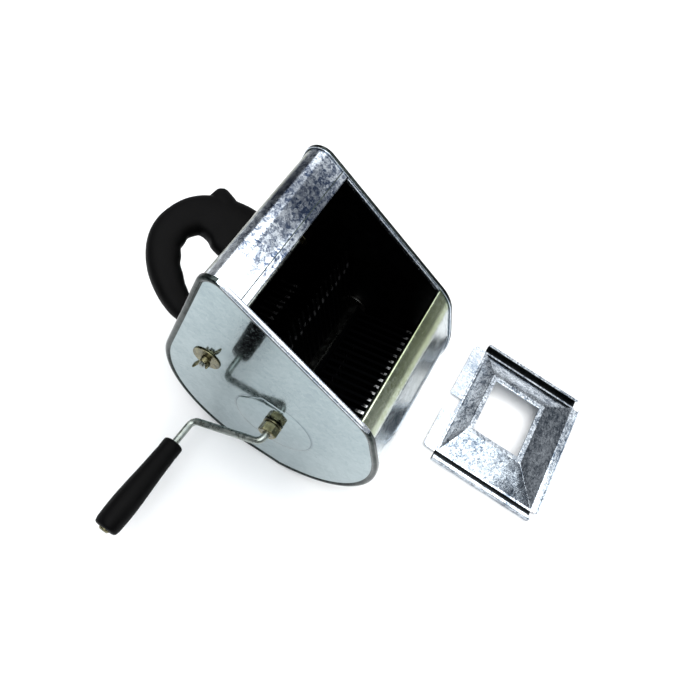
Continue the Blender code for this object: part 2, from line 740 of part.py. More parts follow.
def build_grip(rotor, material):
    """Turning grip on the crank rod; its origin is on its own axis."""
    _, _, second, heading = crank_corners()
    place = second + heading * GRIP_START
    axis = make_empty("grip_axis", rotor, place - Vector((0, *AXLE)))
    shape = turned(grip_profile(), place, 24, heading)
    make_object("crank_grip", shape, material, axis, place)


def build_rotor_end(rotor, materials):
    """Washers at both cheeks and the far end's nut."""
    face = HALF_WIDTH + GAP
    bore = SHAFT_RADIUS + GAP
    for side, sign in SIDES.items():
        low, high = sorted((sign * face, sign * (face + ROTOR_WASHER)))
        shape = ring_piece(AXLE, bore, ROTOR_WASHER_RADIUS, low, high)
        make_object(f"shaft_washer_{side}", shape, materials["zinc"], rotor, (0, *AXLE))
    low = face + ROTOR_WASHER + GAP
    shape = nut_piece(AXLE, ROTOR_NUT_FLATS, bore, low, low + ROTOR_NUT)
    make_object("shaft_nut_far_side", shape, materials["zinc"], rotor, (0, *AXLE))


# ---------------------------------------------------------------- striker bar

def build_striker(root, materials):
    """Striker bar with its washers and nuts; the wing nuts turn on its ends."""
    bar = make_empty("striker_axis", root, (0, *STRIKER))
    end = HALF_WIDTH + STRIKER_PAST_RIM
    shape = turned(((-end, STRIKER_RADIUS), (end, STRIKER_RADIUS)), (0, *STRIKER), 16, solid=True)
    make_object("striker_bar", shape, materials["rod"], bar, (0, *STRIKER))
    bore = STRIKER_RADIUS + GAP
    for side, sign in SIDES.items():
        face = HALF_WIDTH - CHEEK_DISH + GAP
        low, high = sorted((sign * face, sign * (face + PLATE_WASHER)))
        shape = ring_piece(STRIKER, bore, PLATE_WASHER_RADIUS, low, high, 32)
        make_object(f"plate_washer_{side}", shape, materials["zinc"], bar, (0, *STRIKER))
        inner = HALF_WIDTH - DISC_INSIDE - GAP
        low, high = sorted((sign * inner, sign * (inner - INNER_WASHER)))
        shape = ring_piece(STRIKER, bore, INNER_WASHER_RADIUS, low, high, 20)
        make_object(f"inner_washer_{side}", shape, materials["zinc"], bar, (0, *STRIKER))
        start = inner - INNER_WASHER - GAP
        low, high = sorted((sign * start, sign * (start - INNER_NUT)))
        shape = nut_piece(STRIKER, INNER_NUT_FLATS, bore, low, high)
        make_object(f"inner_nut_{side}", shape, materials["zinc"], bar, (0, *STRIKER))
        build_wing_nut(side, sign, face + PLATE_WASHER + GAP, bar, materials["zinc"])


def build_wing_nut(side, sign, start, bar, material):
    """Wing nut: a coned hub with two upright wings, joined by an exact Boolean."""
    bore = STRIKER_RADIUS + GAP
    profile = ((start, bore), (start, WING_HUB_RADIUS), (start + WING_HUB, WING_HUB_RADIUS * 0.82),
               (start + WING_HUB, bore))
    shape = turned([(sign * x, r) for x, r in profile], (0, *STRIKER), 20)
    axis = make_empty(f"wing_nut_axis_{side}", bar)
    nut = make_object(f"wing_nut_{side}", shape, material, axis, (0, *STRIKER))
    wing = ((WING_HUB_RADIUS - 0.0014, start + 0.0015), (WING_SPAN * 0.75, start + 0.005),
            (WING_SPAN, start + WING_HUB + WING_HEIGHT * 0.55),
            (WING_SPAN * 0.86, start + WING_HUB + WING_HEIGHT),
            (WING_SPAN * 0.62, start + WING_HUB + WING_HEIGHT * 0.6),
            (WING_HUB_RADIUS - 0.0014, start + WING_HUB - 0.0008))
    for label, turn in (("first_wing", WING_TURN), ("second_wing", WING_TURN + math.pi)):
        along = Vector((0.0, math.cos(turn), math.sin(turn)))
        across = Vector((0.0, -math.sin(turn), math.cos(turn)))
        rings = []
        for half in (-WING_SHEET / 2, WING_SHEET / 2):
            rings.append([Vector((sign * x, *STRIKER)) + along * r + across * half
                          for r, x in wing])
        plate = bmesh.new()
        loft(plate, rings)
        combine(nut, plate, "UNION", label)


# ---------------------------------------------------------------- reducer

def frame_ring(length_low, length_high, depth_low, depth_high, level):
    """Return the four corners of a rectangle lying over the reducer's place."""
    x, y = REDUCER_PLACE
    z = STANDING_LEVEL + level
    return [(x + length_low, y + depth_low, z), (x + length_high, y + depth_low, z),
            (x + length_high, y + depth_high, z), (x + length_low, y + depth_high, z)]


def build_reducer(root, material):
    """Frame with four sloping walls, end channels, tab strip and front lip."""
    axis = make_empty("reducer_lift", root, (*REDUCER_PLACE, STANDING_LEVEL))
    place = (*REDUCER_PLACE, STANDING_LEVEL)
    half = REDUCER_LENGTH / 2 - REDUCER_SHEET - REDUCER_SLOT
    deep = (mouth_length() - REDUCER_SHORT) / 2
    slope = half - REDUCER_RIM, deep - REDUCER_RIM
    lip = HOLE_LENGTH / 2 + HOLE_LIP, HOLE_DEPTH / 2 + HOLE_LIP
    hole = HOLE_LENGTH / 2, HOLE_DEPTH / 2
    steps = (
        (half, deep, 0.0, 0.0), (*slope, 0.0, 0.0), (*lip, HOLE_SHIFT, REDUCER_RISE),
        (*hole, HOLE_SHIFT, REDUCER_RISE),
    )
    rings = []
    for thick in (0.0, REDUCER_SHEET):
        for length, depth, shift, rise in (steps if thick else reversed(steps)):
            rings.append(frame_ring(-length, length, shift - depth, shift + depth,
                                    REDUCER_LEVEL + rise + thick))
    shape = bmesh.new()
    loft(shape, rings, closed=True)
    make_object("reducer_funnel", shape, material, axis, place, False)
    for side, sign in SIDES.items():
        build_channel(side, sign, half, deep, axis, material)
    build_tab_strip(half, deep, axis, material)
    build_front_lip(half, deep, axis, material)


def build_channel(side, sign, half, deep, axis, material):
    """U channel that slips over a cheek's rim."""
    outer = REDUCER_LENGTH / 2
    sheet = REDUCER_SHEET
    under = REDUCER_LEVEL - GAP
    section = (
        (outer, 0.0), (outer, REDUCER_LEG), (outer - sheet, REDUCER_LEG), (outer - sheet, sheet),
        (half - sheet, sheet), (half - sheet, under), (half - 2 * sheet, under),
        (half - 2 * sheet, 0.0),
    )
    rings = []
    for depth in (-deep, deep):
        rings.append([(REDUCER_PLACE[0] + sign * x, REDUCER_PLACE[1] + depth,
                       STANDING_LEVEL + z) for x, z in section])
    shape = bmesh.new()
    loft(shape, rings)
    place = (*REDUCER_PLACE, STANDING_LEVEL)
    make_object(f"reducer_channel_{side}", shape, material, axis, place, False)


def build_tab_strip(half, deep, axis, material):
    """Strip along the back edge with two tabs and a notch between them."""
    total = REDUCER_LENGTH - 2 * TAB_INSET
    start = -total / 2
    root_edge = deep - 0.006
    edge = deep + 0.001
    outside = deep + TAB_REACH
    corner = 0.005
    first = start + TAB_NEAR_LENGTH
    second = first + TAB_NOTCH
    under = half - 2 * REDUCER_SHEET - GAP
    outline = [
        (-under, root_edge), (under, root_edge), (under, edge), (start + total, edge),
        (start + total, outside - corner), (start + total - corner, outside),
        (second, outside), (second, edge), (first, edge), (first, outside),
        (start + corner, outside), (start, outside - corner), (start, edge), (-under, edge),
    ]
    x, y = REDUCER_PLACE
    top = STANDING_LEVEL + REDUCER_LEVEL - GAP
    rings = [[(x + a, y + b, z) for a, b in outline] for z in (top - REDUCER_SHEET, top)]
    shape = bmesh.new()
    loft(shape, rings)
    place = (*REDUCER_PLACE, STANDING_LEVEL)
    make_object("reducer_tab_strip", shape, material, axis, place, False)


def build_front_lip(half, deep, axis, material):
    """Folded strip along the front edge, turned up at its outside."""
    top = REDUCER_LEVEL - GAP
    sheet = REDUCER_SHEET
    outside = -deep - FRONT_FLANGE
    section = (
        (-deep + 0.006, top - sheet), (-deep + 0.006, top), (outside + sheet, top),
        (outside + sheet, top + FRONT_LIP), (outside, top + FRONT_LIP), (outside, top - sheet),
    )
    x, y = REDUCER_PLACE
    end = half - 2 * sheet - GAP
    rings = [[(x + along, y + a, STANDING_LEVEL + z) for a, z in section] for along in (-end, end)]
    shape = bmesh.new()
    loft(shape, rings)
    place = (*REDUCER_PLACE, STANDING_LEVEL)
    make_object("reducer_front_lip", shape, material, axis, place, False)


# ---------------------------------------------------------------- whole object

def stand_at_origin(root):
    """Move the root so that the whole object's box stands centred on the world origin."""
    bpy.context.view_layer.update()
    graph = bpy.context.evaluated_depsgraph_get()
    low = Vector((math.inf,) * 3)
    high = Vector((-math.inf,) * 3)
    for item in bpy.context.scene.objects:
        if item.type != "MESH" or item.hide_render:
            continue
        mesh = item.evaluated_get(graph).to_mesh()
        for vertex in mesh.vertices:
            point = item.matrix_world @ vertex.co
            low = Vector(map(min, low, point))
            high = Vector(map(max, high, point))
        item.evaluated_get(graph).to_mesh_clear()
    root.location = (-(low.x + high.x) / 2, -(low.y + high.y) / 2, -low.z)
    bpy.context.view_layer.update()


def main():
    """Build every piece of the thrower and its reducer."""
    clear_scene()
    materials = {
        "cheek": make_material("cheek_sheet", (0.40, 0.47, 0.50), 0.22, 1.0),
        "galvanised": make_material("galvanised_sheet", (0.62, 0.66, 0.70), 0.30, 1.0),
        "zinc": make_material("yellow_zinc", (0.36, 0.33, 0.20), 0.35, 1.0),
        "rod": make_material("zinc_rod", (0.42, 0.43, 0.38), 0.30, 1.0),
        "spring": make_material("spring_steel", (0.30, 0.31, 0.33), 0.30, 1.0),
        "plastic": make_material("black_plastic", (0.012, 0.012, 0.013), 0.45, 0.0),
        "bush": make_material("bush_steel", (0.35, 0.35, 0.34), 0.40, 1.0),
    }
    root = make_empty("casing_root")
    for side in SIDES:
        build_cheek(side, root, materials["cheek"])
        build_side_strip(side, root, materials["galvanised"])
        build_bush(side, root, materials["bush"])
    build_wrapper(root, materials["galvanised"])
    build_handle(root, materials["plastic"])
    build_handle_screw("handle_screw_crank_side", HANDLE_NEAR_FOOT, root, materials["zinc"])
    build_handle_screw("handle_screw_far_side", HANDLE_FAR_FOOT, root, materials["zinc"])
    rotor = make_empty("rotor_axis", root, (0, *AXLE))
    build_hub(rotor, materials["spring"])
    for row in range(ROW_COUNT):
        angle = ROW_ANGLE + 2 * math.pi * row / ROW_COUNT
        build_comb(row + 1, angle, rotor, materials["spring"])
        build_clamp_bar(row + 1, angle, rotor, materials["bush"])
    build_rotor_end(rotor, materials)
    build_crank(rotor, materials)
    build_grip(rotor, materials["plastic"])
    build_striker(root, materials)
    build_reducer(root, materials["galvanised"])
    stand_at_origin(root)


main()
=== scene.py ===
"""Looks of a hand-cranked roughcast thrower and its mouth reducer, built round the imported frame.

Shapes are made in the casing's own axes: X along the axle from the crank's side to the far side,
Y towards the carry handle, Z up, measured from the centre of the belly. A bench moves them to
the place that the frame gives. Lengths are in metres.
"""
from __future__ import annotations

import logging
import math
from dataclasses import dataclass, field
from enum import Enum
from typing import Any, Sequence

import bmesh
import bpy
from mathutils import Matrix, Quaternion, Vector


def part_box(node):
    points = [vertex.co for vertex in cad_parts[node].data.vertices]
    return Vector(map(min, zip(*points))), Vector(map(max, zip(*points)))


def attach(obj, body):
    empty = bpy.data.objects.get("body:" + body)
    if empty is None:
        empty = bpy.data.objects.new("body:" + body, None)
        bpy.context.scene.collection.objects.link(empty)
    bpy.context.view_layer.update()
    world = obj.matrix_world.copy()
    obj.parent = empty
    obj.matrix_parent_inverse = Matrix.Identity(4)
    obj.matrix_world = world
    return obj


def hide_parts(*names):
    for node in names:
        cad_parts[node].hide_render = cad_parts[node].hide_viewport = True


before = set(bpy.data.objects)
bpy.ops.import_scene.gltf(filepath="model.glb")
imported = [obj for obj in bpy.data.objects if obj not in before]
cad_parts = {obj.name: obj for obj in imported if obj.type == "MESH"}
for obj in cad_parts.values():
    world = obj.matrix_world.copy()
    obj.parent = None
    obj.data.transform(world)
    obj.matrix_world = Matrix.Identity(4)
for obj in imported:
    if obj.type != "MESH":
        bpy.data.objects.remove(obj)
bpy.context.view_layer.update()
LOG = logging.getLogger("thrower")
MM = 0.001
Colour = tuple[float, float, float]
Point2 = tuple[float, float]


class Side(Enum):
    """The casing's two ends; the value is the end's sign along X."""

    CRANK = -1
    FAR = 1

    @property
    def label(self) -> str:
        """The end's name in the frame."""
        return "crank_side" if self is Side.CRANK else "far_side"


class Slot(Enum):
    """The record's material slots."""

    CHEEK = "cheek_sheet"
    ZINC = "galvanised_sheet"
    YELLOW = "yellow_zinc"
    ROD = "zinc_rod"
    SPRING = "spring_steel"
    BUSH = "bush_steel"
    PLASTIC = "black_plastic"


# ---------------------------------------------------------------- node trees

class Wire:
    """A node socket on which sums can be written."""

    def __init__(self, tree: "Tree", socket: Any) -> None:
        """Wrap a socket.

        Args:
            tree: the tree that new nodes are added to.
            socket: the output socket that carries the value.
        """
        self.tree = tree
        self.socket = socket

    def _sum(self, operation: str, first: Any, second: Any) -> "Wire":
        """Add one Math node and return its result."""
        return self.tree.node("ShaderNodeMath", {"operation": operation}, {0: first, 1: second})

    def __add__(self, other: Any) -> "Wire":
        """Return self + other."""
        return self._sum("ADD", self, other)

    __radd__ = __add__

    def __sub__(self, other: Any) -> "Wire":
        """Return self - other."""
        return self._sum("SUBTRACT", self, other)

    def __rsub__(self, other: Any) -> "Wire":
        """Return other - self."""
        return self._sum("SUBTRACT", other, self)

    def __mul__(self, other: Any) -> "Wire":
        """Return self * other."""
        return self._sum("MULTIPLY", self, other)

    __rmul__ = __mul__

    def __truediv__(self, other: Any) -> "Wire":
        """Return self / other."""
        return self._sum("DIVIDE", self, other)

class Tree:
    """A node tree that is written as expressions."""

    def __init__(self, tree: Any) -> None:
        """Wrap a shader or geometry node tree."""
        self.tree = tree

    def node(self, kind: str, settings: dict[str, Any] | None = None,
             values: dict[Any, Any] | None = None, out: int | str = 0) -> Wire:
        """Add one node.

        Args:
            kind: the node's type.
            settings: properties, set before anything else; "stops" fills a colour ramp.
            values: numbers or wires for the inputs, by name or number.
            out: the output to return.

        Returns:
            The chosen output.
        """
        made = self.tree.nodes.new(kind)
        for name, value in (settings or {}).items():
            if name == "stops":
                self._fill_ramp(made, value)
            else:
                setattr(made, name, value)
        for key, value in (values or {}).items():
            if isinstance(value, Wire):
                self.tree.links.new(value.socket, made.inputs[key])
            else:
                made.inputs[key].default_value = value
        return Wire(self, made.outputs[out])

    @staticmethod
    def _fill_ramp(made: Any, stops: Sequence[tuple[float, float]]) -> None:
        """Give a ramp its (position, grey level) stops."""
        ramp = made.color_ramp
        for element, (place, level) in zip(ramp.elements, (stops[0], stops[-1])):
            element.position = place
            element.color = (level, level, level, 1.0)
        for place, level in stops[1:-1]:
            ramp.elements.new(place).color = (level, level, level, 1.0)

    def mix(self, share: Wire, first: Any, second: Any) -> Wire:
        """Return a colour between two colours."""
        ends = [(*c, 1.0) if isinstance(c, tuple) else c for c in (first, second)]
        return self.node("ShaderNodeMix", {"data_type": "RGBA"},
                         {0: share, 6: ends[0], 7: ends[1]}, 2)

    def vector(self, operation: str, first: Wire, second: Any) -> Wire:
        """Return one Vector Math node's result."""
        return self.node("ShaderNodeVectorMath", {"operation": operation}, {0: first, 1: second})

    def place(self, stretch: Sequence[float] = (1.0, 1.0, 1.0),
              turn: Sequence[float] = (0.0, 0.0, 0.0),
              centre: Sequence[float] = (0.0, 0.0, 0.0)) -> Wire:
        """Return the piece's own coordinates, measured from a centre, turned and stretched."""
        own = self.node("ShaderNodeTexCoord", out="Object")
        return self.node("ShaderNodeMapping", values={
            "Vector": own, "Location": [-c for c in centre], "Scale": stretch, "Rotation": turn})

    def distance(self, own: Wire) -> Wire:
        """Return how far coordinates are from the X axis."""
        flat = self.vector("MULTIPLY", own, (0.0, 1.0, 1.0))
        return self.node("ShaderNodeVectorMath", {"operation": "LENGTH"}, {0: flat}, "Value")

    def clamp(self, value: Wire) -> Wire:
        """Return a value held between 0 and 1."""
        return self.node("ShaderNodeClamp", {}, {0: value})

    def noise(self, place: Wire, size: float, detail: float = 2.0, out: int = 0) -> Wire:
        """Return cloud noise whose lumps are size across."""
        return self.node("ShaderNodeTexNoise", {}, {
            "Vector": place, "Scale": 1 / size, "Detail": detail}, out)

    def ramp(self, value: Wire, *stops: tuple[float, float]) -> Wire:
        """Return a value through a ramp of (position, level) stops."""
        return self.node("ShaderNodeValToRGB", {"stops": stops}, {0: value})

    def bump(self, height: Wire, distance: float, strength: float = 1.0,
             below: Wire | None = None) -> Wire:
        """Return a bumped normal, over another one if it is given."""
        values: dict[Any, Any] = {"Height": height, "Distance": distance, "Strength": strength}
        if below is not None:
            values["Normal"] = below
        return self.node("ShaderNodeBump", {}, values)


class SurfaceTree(Tree):
    """A material's tree, which ends in one Principled shader."""

    def __init__(self, name: str) -> None:
        """Make a material of that name with an empty tree."""
        self.material = bpy.data.materials.new(name)
        self.material.use_nodes = True
        super().__init__(self.material.node_tree)
        self.shader = self.tree.nodes["Principled BSDF"]

    def finish(self, **values: Any) -> bpy.types.Material:
        """Set the shader's sockets.

        Args:
            values: numbers or wires, by socket name with _ for a space.

        Returns:
            The finished material.
        """
        for key, value in values.items():
            socket = self.shader.inputs[key.replace("_", " ")]
            if isinstance(value, Wire):
                self.tree.links.new(value.socket, socket)
            else:
                socket.default_value = value
        return self.material


# ---------------------------------------------------------------- finishes

@dataclass(frozen=True)
class Tint:
    """A band of colour between two levels along one axis, with ragged soft edges; it serves for
    real films of colour and for painted highlight and shade.
    """

    axis: str
    low: float
    high: float
    shade: Colour
    share: float
    soft: float = 0.005


@dataclass(frozen=True)
class SpangledZinc:
    """Hot-dipped sheet: zinc crystals, long waves from the rollers, smears, and bands of colour
    that are partly real films and partly painted highlight and shade.
    """

    name: str
    dark: Colour
    light: Colour
    crystal: float = 0.0048
    contrast: float = 2.2
    smooth: float = 0.10
    rough: float = 0.32
    wave: float = 0.0013
    wave_length: float = 0.055
    centre: tuple[float, float, float] = (0.0, 0.0, 0.0)
    tints: tuple[Tint, ...] = ()
    # Radius of a painted shade line round a boss; 0 leaves it out.
    ring: float = 0.0

    def crystals(self, tree: SurfaceTree, own: Wire) -> tuple[Wire, Wire, Wire]:
        """Return three random levels: two by crystal and one by small crystal."""
        drift = tree.noise(own, self.crystal * 2.0, 2.0, 1)
        push = tree.vector("SCALE", drift, (0.0, 0.0, 0.0))
        push.socket.node.inputs["Scale"].default_value = self.crystal * 1.5
        bent = tree.vector("ADD", own, push)
        cells = tree.node("ShaderNodeTexVoronoi", {}, {
            "Vector": bent, "Scale": 1 / self.crystal}, "Color")
        small = tree.node("ShaderNodeTexVoronoi", {}, {
            "Vector": bent, "Scale": 2.7 / self.crystal}, "Color")
        split = "ShaderNodeSeparateColor"
        return (tree.node(split, {}, {"Color": cells}, "Red"),
                tree.node(split, {}, {"Color": cells}, "Green"),
                tree.node(split, {}, {"Color": small}, "Blue"))

    def make(self) -> bpy.types.Material:
        """Build the material."""
        tree = SurfaceTree(self.name)
        own = tree.place(centre=self.centre)
        level, other, fine = self.crystals(tree, own)
        cloud = tree.ramp(tree.noise(own, 0.040, 3.0), (0.34, 0.0), (0.66, 1.0))
        smear = tree.ramp(tree.noise(tree.place((1.0, 1.0, 0.25)), 0.010, 4.0),
                          (0.40, 0.0), (0.70, 1.0))
        tone = level * 0.42 + fine * 0.30 + cloud * 0.28
        tone = tree.ramp((tone - 0.5) * self.contrast + 0.5, (0.0, 0.0), (1.0, 1.0))
        colour = tree.mix(tone, self.dark, self.light)
        ragged = tree.noise(own, 0.012, 3.0) * 0.006 - 0.003
        # Each tint lays a band of colour: real films, painted highlights and painted shade alike.
        for tint in self.tints:
            along = tree.node("ShaderNodeSeparateXYZ", {}, {0: own}, tint.axis) + ragged
            rise = tree.clamp((along - tint.low) / tint.soft)
            fall = tree.clamp((tint.high - along) / tint.soft)
            colour = tree.mix(rise * fall * tint.share, colour, tint.shade)
        # Painted shade: a dark line round the boss's edge stands in for the shade at its step.
        if self.ring:
            edge = tree.ramp((tree.distance(own) - self.ring) / 0.008 + 0.5, (0.20, 0.0),
                             (0.32, 1.0), (0.44, 0.35), (0.60, 0.25), (0.75, 0.0))
            colour = tree.mix(edge * 0.75, colour, (0.05, 0.07, 0.08))
        span = self.rough - self.smooth
        gloss = other * (0.40 * span) + cloud * (0.25 * span) + smear * (0.35 * span)
        waves = tree.noise(own, self.wave_length, 1.0)
        normal = tree.bump(waves, self.wave)
        normal = tree.bump(level * 0.6 + fine * 0.4, 0.00003, 1.0, normal)
        return tree.finish(Base_Color=colour, Metallic=1.0, Roughness=gloss + self.smooth,
                           Normal=normal)


@dataclass(frozen=True)
class DrawnMetal:
    """Bar, wire and small turned or pressed parts: draw lines, a plated film and rubbed spots;
    optionally a near-black colour, partly stain and partly painted shade, inward of a radius and
    beyond a level along X, which leaves bright tips as painted glints.
    """

    name: str
    dark: Colour
    light: Colour
    film: Colour
    film_share: float = 0.5
    smooth: float = 0.18
    rough: float = 0.42
    grain: float = 0.0011
    lines: tuple[float, float, float] = (0.06, 1.0, 1.0)
    stain: Colour = (0.0, 0.0, 0.0)
    worn: float = 0.0
    worn_to: float = 0.0
    centre: tuple[float, float, float] = (0.0, 0.0, 0.0)

    def make(self) -> bpy.types.Material:
        """Build the material."""
        tree = SurfaceTree(self.name)
        own = tree.place()
        along = tree.place(self.lines)
        scratch = tree.noise(along, self.grain, 3.0)
        cloud = tree.ramp(tree.noise(own, 0.009, 3.0), (0.35, 0.0), (0.66, 1.0))
        patch = tree.ramp(tree.noise(own, 0.0042, 2.0), (0.40, 0.0), (0.70, 1.0))
        colour = tree.mix(cloud * 0.6 + scratch * 0.4, self.dark, self.light)
        colour = tree.mix(patch * self.film_share, colour, self.film)
        span = self.rough - self.smooth
        gloss = cloud * (0.6 * span) + scratch * (0.4 * span) + self.smooth
        # Near the axle and beyond the level along X the colour turns near-black and rougher, partly
        # stain and partly painted shade; the tips outside keep the bright metal as painted glints.
        if self.worn:
            away = tree.distance(tree.place(centre=self.centre))
            across = tree.node("ShaderNodeSeparateXYZ", {}, {
                0: tree.place(centre=self.centre)}, "X")
            shade_beyond_limit = tree.clamp((across - self.worn_to) / 0.012)
            share = tree.clamp((self.worn - away + patch * 0.006) / 0.010 + shade_beyond_limit)
            colour = tree.mix(share, colour, self.stain)
            gloss = gloss + share * 0.45
        normal = tree.bump(scratch + cloud * 0.3, 0.00005)
        return tree.finish(Base_Color=colour, Metallic=1.0, Roughness=gloss, Normal=normal)


@dataclass(frozen=True)
class MouldedPlastic:
    """Hard black plastic with a fine moulded grain, dusty scuffs and a soft shine."""

    name: str
    deep: Colour
    rubbed: Colour
    smooth: float = 0.26
    rough: float = 0.52

    def make(self) -> bpy.types.Material:
        """Build the material."""
        tree = SurfaceTree(self.name)
        own = tree.place()
        grain = tree.noise(own, 0.0009, 2.0)
        cloud = tree.ramp(tree.noise(own, 0.021, 3.0), (0.38, 0.0), (0.70, 1.0))
        scuff = tree.ramp(tree.noise(tree.place((1.0, 0.22, 1.0), (0.4, 0.2, 0.7)), 0.0035, 4.0),
                          (0.60, 0.0), (0.74, 1.0))
        colour = tree.mix(cloud * 0.45 + scuff * 0.55, self.deep, self.rubbed)
        span = self.rough - self.smooth
        gloss = cloud * (0.55 * span) + scuff * (0.45 * span) + self.smooth
        normal = tree.bump(grain, 0.00009)
        return tree.finish(Base_Color=colour, Roughness=gloss, Normal=normal,
                           Specular_IOR_Level=0.05)


@dataclass(frozen=True)
class PlainFloor:
    """Pale matt floor."""

    name: str
    shade: Colour
    edge: Colour

    def make(self) -> bpy.types.Material:
        """Build the material."""
        tree = SurfaceTree(self.name)
        cloud = tree.noise(tree.place(), 0.35, 3.0)
        return tree.finish(Base_Color=tree.mix(cloud * 0.25, self.shade, self.edge), Roughness=0.9)


@dataclass
class Finishes:
    """Every finish, made once, on the drum's own axes."""

    origin: Vector
    made: dict[str, bpy.types.Material] = field(default_factory=dict)

    def __post_init__(self) -> None:
        """Choose the finishes."""
        centre = tuple(self.origin)
        axle = tuple(self.origin + Vector((0.0, *Casing.axle)))
        # The cheek's finish paints a dark shade line round its boss.
        self.cheek = SpangledZinc(
            "satin_cheek", (0.215, 0.28, 0.305), (0.40, 0.475, 0.485), 0.0070, 0.62, 0.04, 0.12,
            0.0006, 0.080, axle, ring=Casing.boss_radius)
        # Painted shade: the rolled rims and the hem's step line are near-black zinc for the shade
        # that lies on them.
        self.rim = SpangledZinc(
            "rim_painted_shade", (0.007, 0.010, 0.010), (0.048, 0.060, 0.057), 0.0040, 1.4, 0.10, 0.24,
            0.0006, 0.030, centre)
        self.outside = SpangledZinc(
            "spangled_zinc", (0.05, 0.075, 0.13), (0.70, 0.76, 0.82), 0.0038, 2.2, 0.10, 0.27,
            0.0008, 0.060, centre, (
                # Painted highlight: the sheet is lightened towards the crank's end.
                Tint("X", -0.140, -0.055, (0.88, 0.91, 0.93), 0.50, 0.040),
                # Painted shade: the sheet darkens towards the far end.
                Tint("X", -0.060, 0.140, (0.004, 0.008, 0.020), 0.80, 0.085),
                Tint("Y", -0.128, -0.096, (0.35, 0.40, 0.23), 0.72),
                # Painted highlight: a pale band along the nose.
                Tint("Y", -0.200, -0.124, (0.62, 0.68, 0.66), 0.50),
                # A darker olive band over the back of the top corner.
                Tint("Y", 0.1185, 0.300, (0.13, 0.14, 0.095), 0.80, 0.0025)))
        # Painted shade: the drum's inside and the cheeks' inner faces are near-black zinc.
        self.inside = SpangledZinc(
            "inside_painted_shade", (0.0016, 0.0018, 0.0022), (0.011, 0.011, 0.012), 0.010, 1.2,
            0.30, 0.55, centre=centre)
        self.reducer = SpangledZinc(
            "reducer_zinc", (0.055, 0.080, 0.115), (0.74, 0.80, 0.86), 0.0034, 1.5, 0.09, 0.24,
            0.0010, 0.050, centre)
        # Painted shade: near-black zinc inside the reducer's channels.
        self.fold = SpangledZinc(
            "shaded_fold", (0.004, 0.005, 0.006), (0.03, 0.034, 0.036), 0.0034, 1.2, 0.30, 0.50,
            0.0003, 0.050, centre)
        # Painted highlight: a pale copy of the zinc for the mouth strips, the rims' mouth side and
        # the reducer's tab strip.
        self.tab = SpangledZinc(
            "painted_highlight_zinc", (0.32, 0.40, 0.50), (0.84, 0.88, 0.92), 0.0034, 1.3, 0.16, 0.34,
            0.0008, 0.050, centre)
        self.yellow = DrawnMetal(
            "yellow_zinc_plate", (0.030, 0.028, 0.014), (0.29, 0.265, 0.15), (0.12, 0.13, 0.09),
            0.40, 0.16, 0.36)
        self.rod = DrawnMetal(
            "drawn_rod", (0.09, 0.11, 0.105), (0.42, 0.46, 0.44), (0.24, 0.25, 0.18), 0.35)
        # Tines: bright tips, worn by the bar and kept only near the crank's end as painted glints;
        # the rest of each tine is near-black, partly stain and partly painted shade.
        self.spring = DrawnMetal(
            "spring_strip", (0.55, 0.58, 0.60), (0.94, 0.95, 0.96), (0.40, 0.40, 0.38), 0.30,
            0.08, 0.20, stain=(0.0016, 0.0018, 0.0022), worn=0.091, worn_to=-0.052,
            centre=axle)
        # Painted shade: the hub and shaft are near-black.
        self.hub = DrawnMetal(
            "hub_painted_shade", (0.006, 0.007, 0.007), (0.045, 0.048, 0.046), (0.03, 0.028, 0.022), 0.4)
        self.bush = DrawnMetal(
            "turned_bush", (0.12, 0.12, 0.11), (0.34, 0.34, 0.32), (0.10, 0.09, 0.08), 0.4)
        self.plastic = MouldedPlastic(
            "black_moulding", (0.0010, 0.0010, 0.0011), (0.0030, 0.0030, 0.0032), 0.46, 0.70)
        self.floor = PlainFloor("pale_floor", (0.93, 0.93, 0.93), (0.89, 0.90, 0.91))

    def get(self, finish: Any) -> bpy.types.Material:
        """Return a finish's material, made on its first use."""
        if finish.name not in self.made:
            self.made[finish.name] = finish.make()
        return self.made[finish.name]


# ---------------------------------------------------------------- mesh making

def loft(rings: Sequence[Sequence[Any]], closed: bool = False,
         columns: dict[int, int] | None = None, rows: dict[int, int] | None = None,
         shape: bmesh.types.BMesh | None = None) -> bmesh.types.BMesh:
    """Join rings of equal length with faces.

    Args:
        rings: closed loops of points.
        closed: joins the last ring to the first; otherwise both ends are capped.
        columns: material numbers of faces by their place in a ring.
        rows: material numbers of faces by their ring.
        shape: the mesh that gets the faces, if there is one already.

    Returns:
        The mesh.
    """
    shape = bmesh.new() if shape is None else shape
    loops = [[shape.verts.new(point) for point in ring] for ring in rings]
    count = len(loops[0])
    pairs = list(zip(loops, loops[1:]))
    if closed:
        pairs.append((loops[-1], loops[0]))
    else:
        shape.faces.new(loops[0])
        shape.faces.new(loops[-1])
    for row, (first, second) in enumerate(pairs):
        for i in range(count):
            j = (i + 1) % count
            face = shape.faces.new((first[i], first[j], second[j], second[i]))
            face.material_index = (columns or {}).get(i, 0) or (rows or {}).get(row, 0)
    return shape


def bar(outline: Sequence[Point2], stations: Sequence[float],
        columns: dict[int, int] | None = None) -> bmesh.types.BMesh:
    """Return a bar along X that has one (y, z) outline at each station."""
    return loft([[(x, y, z) for y, z in outline] for x in stations], columns=columns)


def turns(sides: int) -> list[float]:
    """Return the angles of a ring's points."""
    return [2 * math.pi * i / sides for i in range(sides)]


def evenly(half: float, steps: int) -> list[float]:
    """Return even stations from -half to half."""
    return [half * (2 * i / steps - 1) for i in range(steps + 1)]


def ends(side: Side, start: float, thick: float) -> tuple[float, float]:
    """Return the ends along X of something that starts at start on a side, lower end first."""
    first, last = sorted((side.value * start, side.value * (start + thick)))
    return first, last


def squared(value: float, power: float) -> float:
    """Return a sine or cosine whose power below 1 makes an oval squarer."""
    return math.copysign(abs(value) ** power, value)


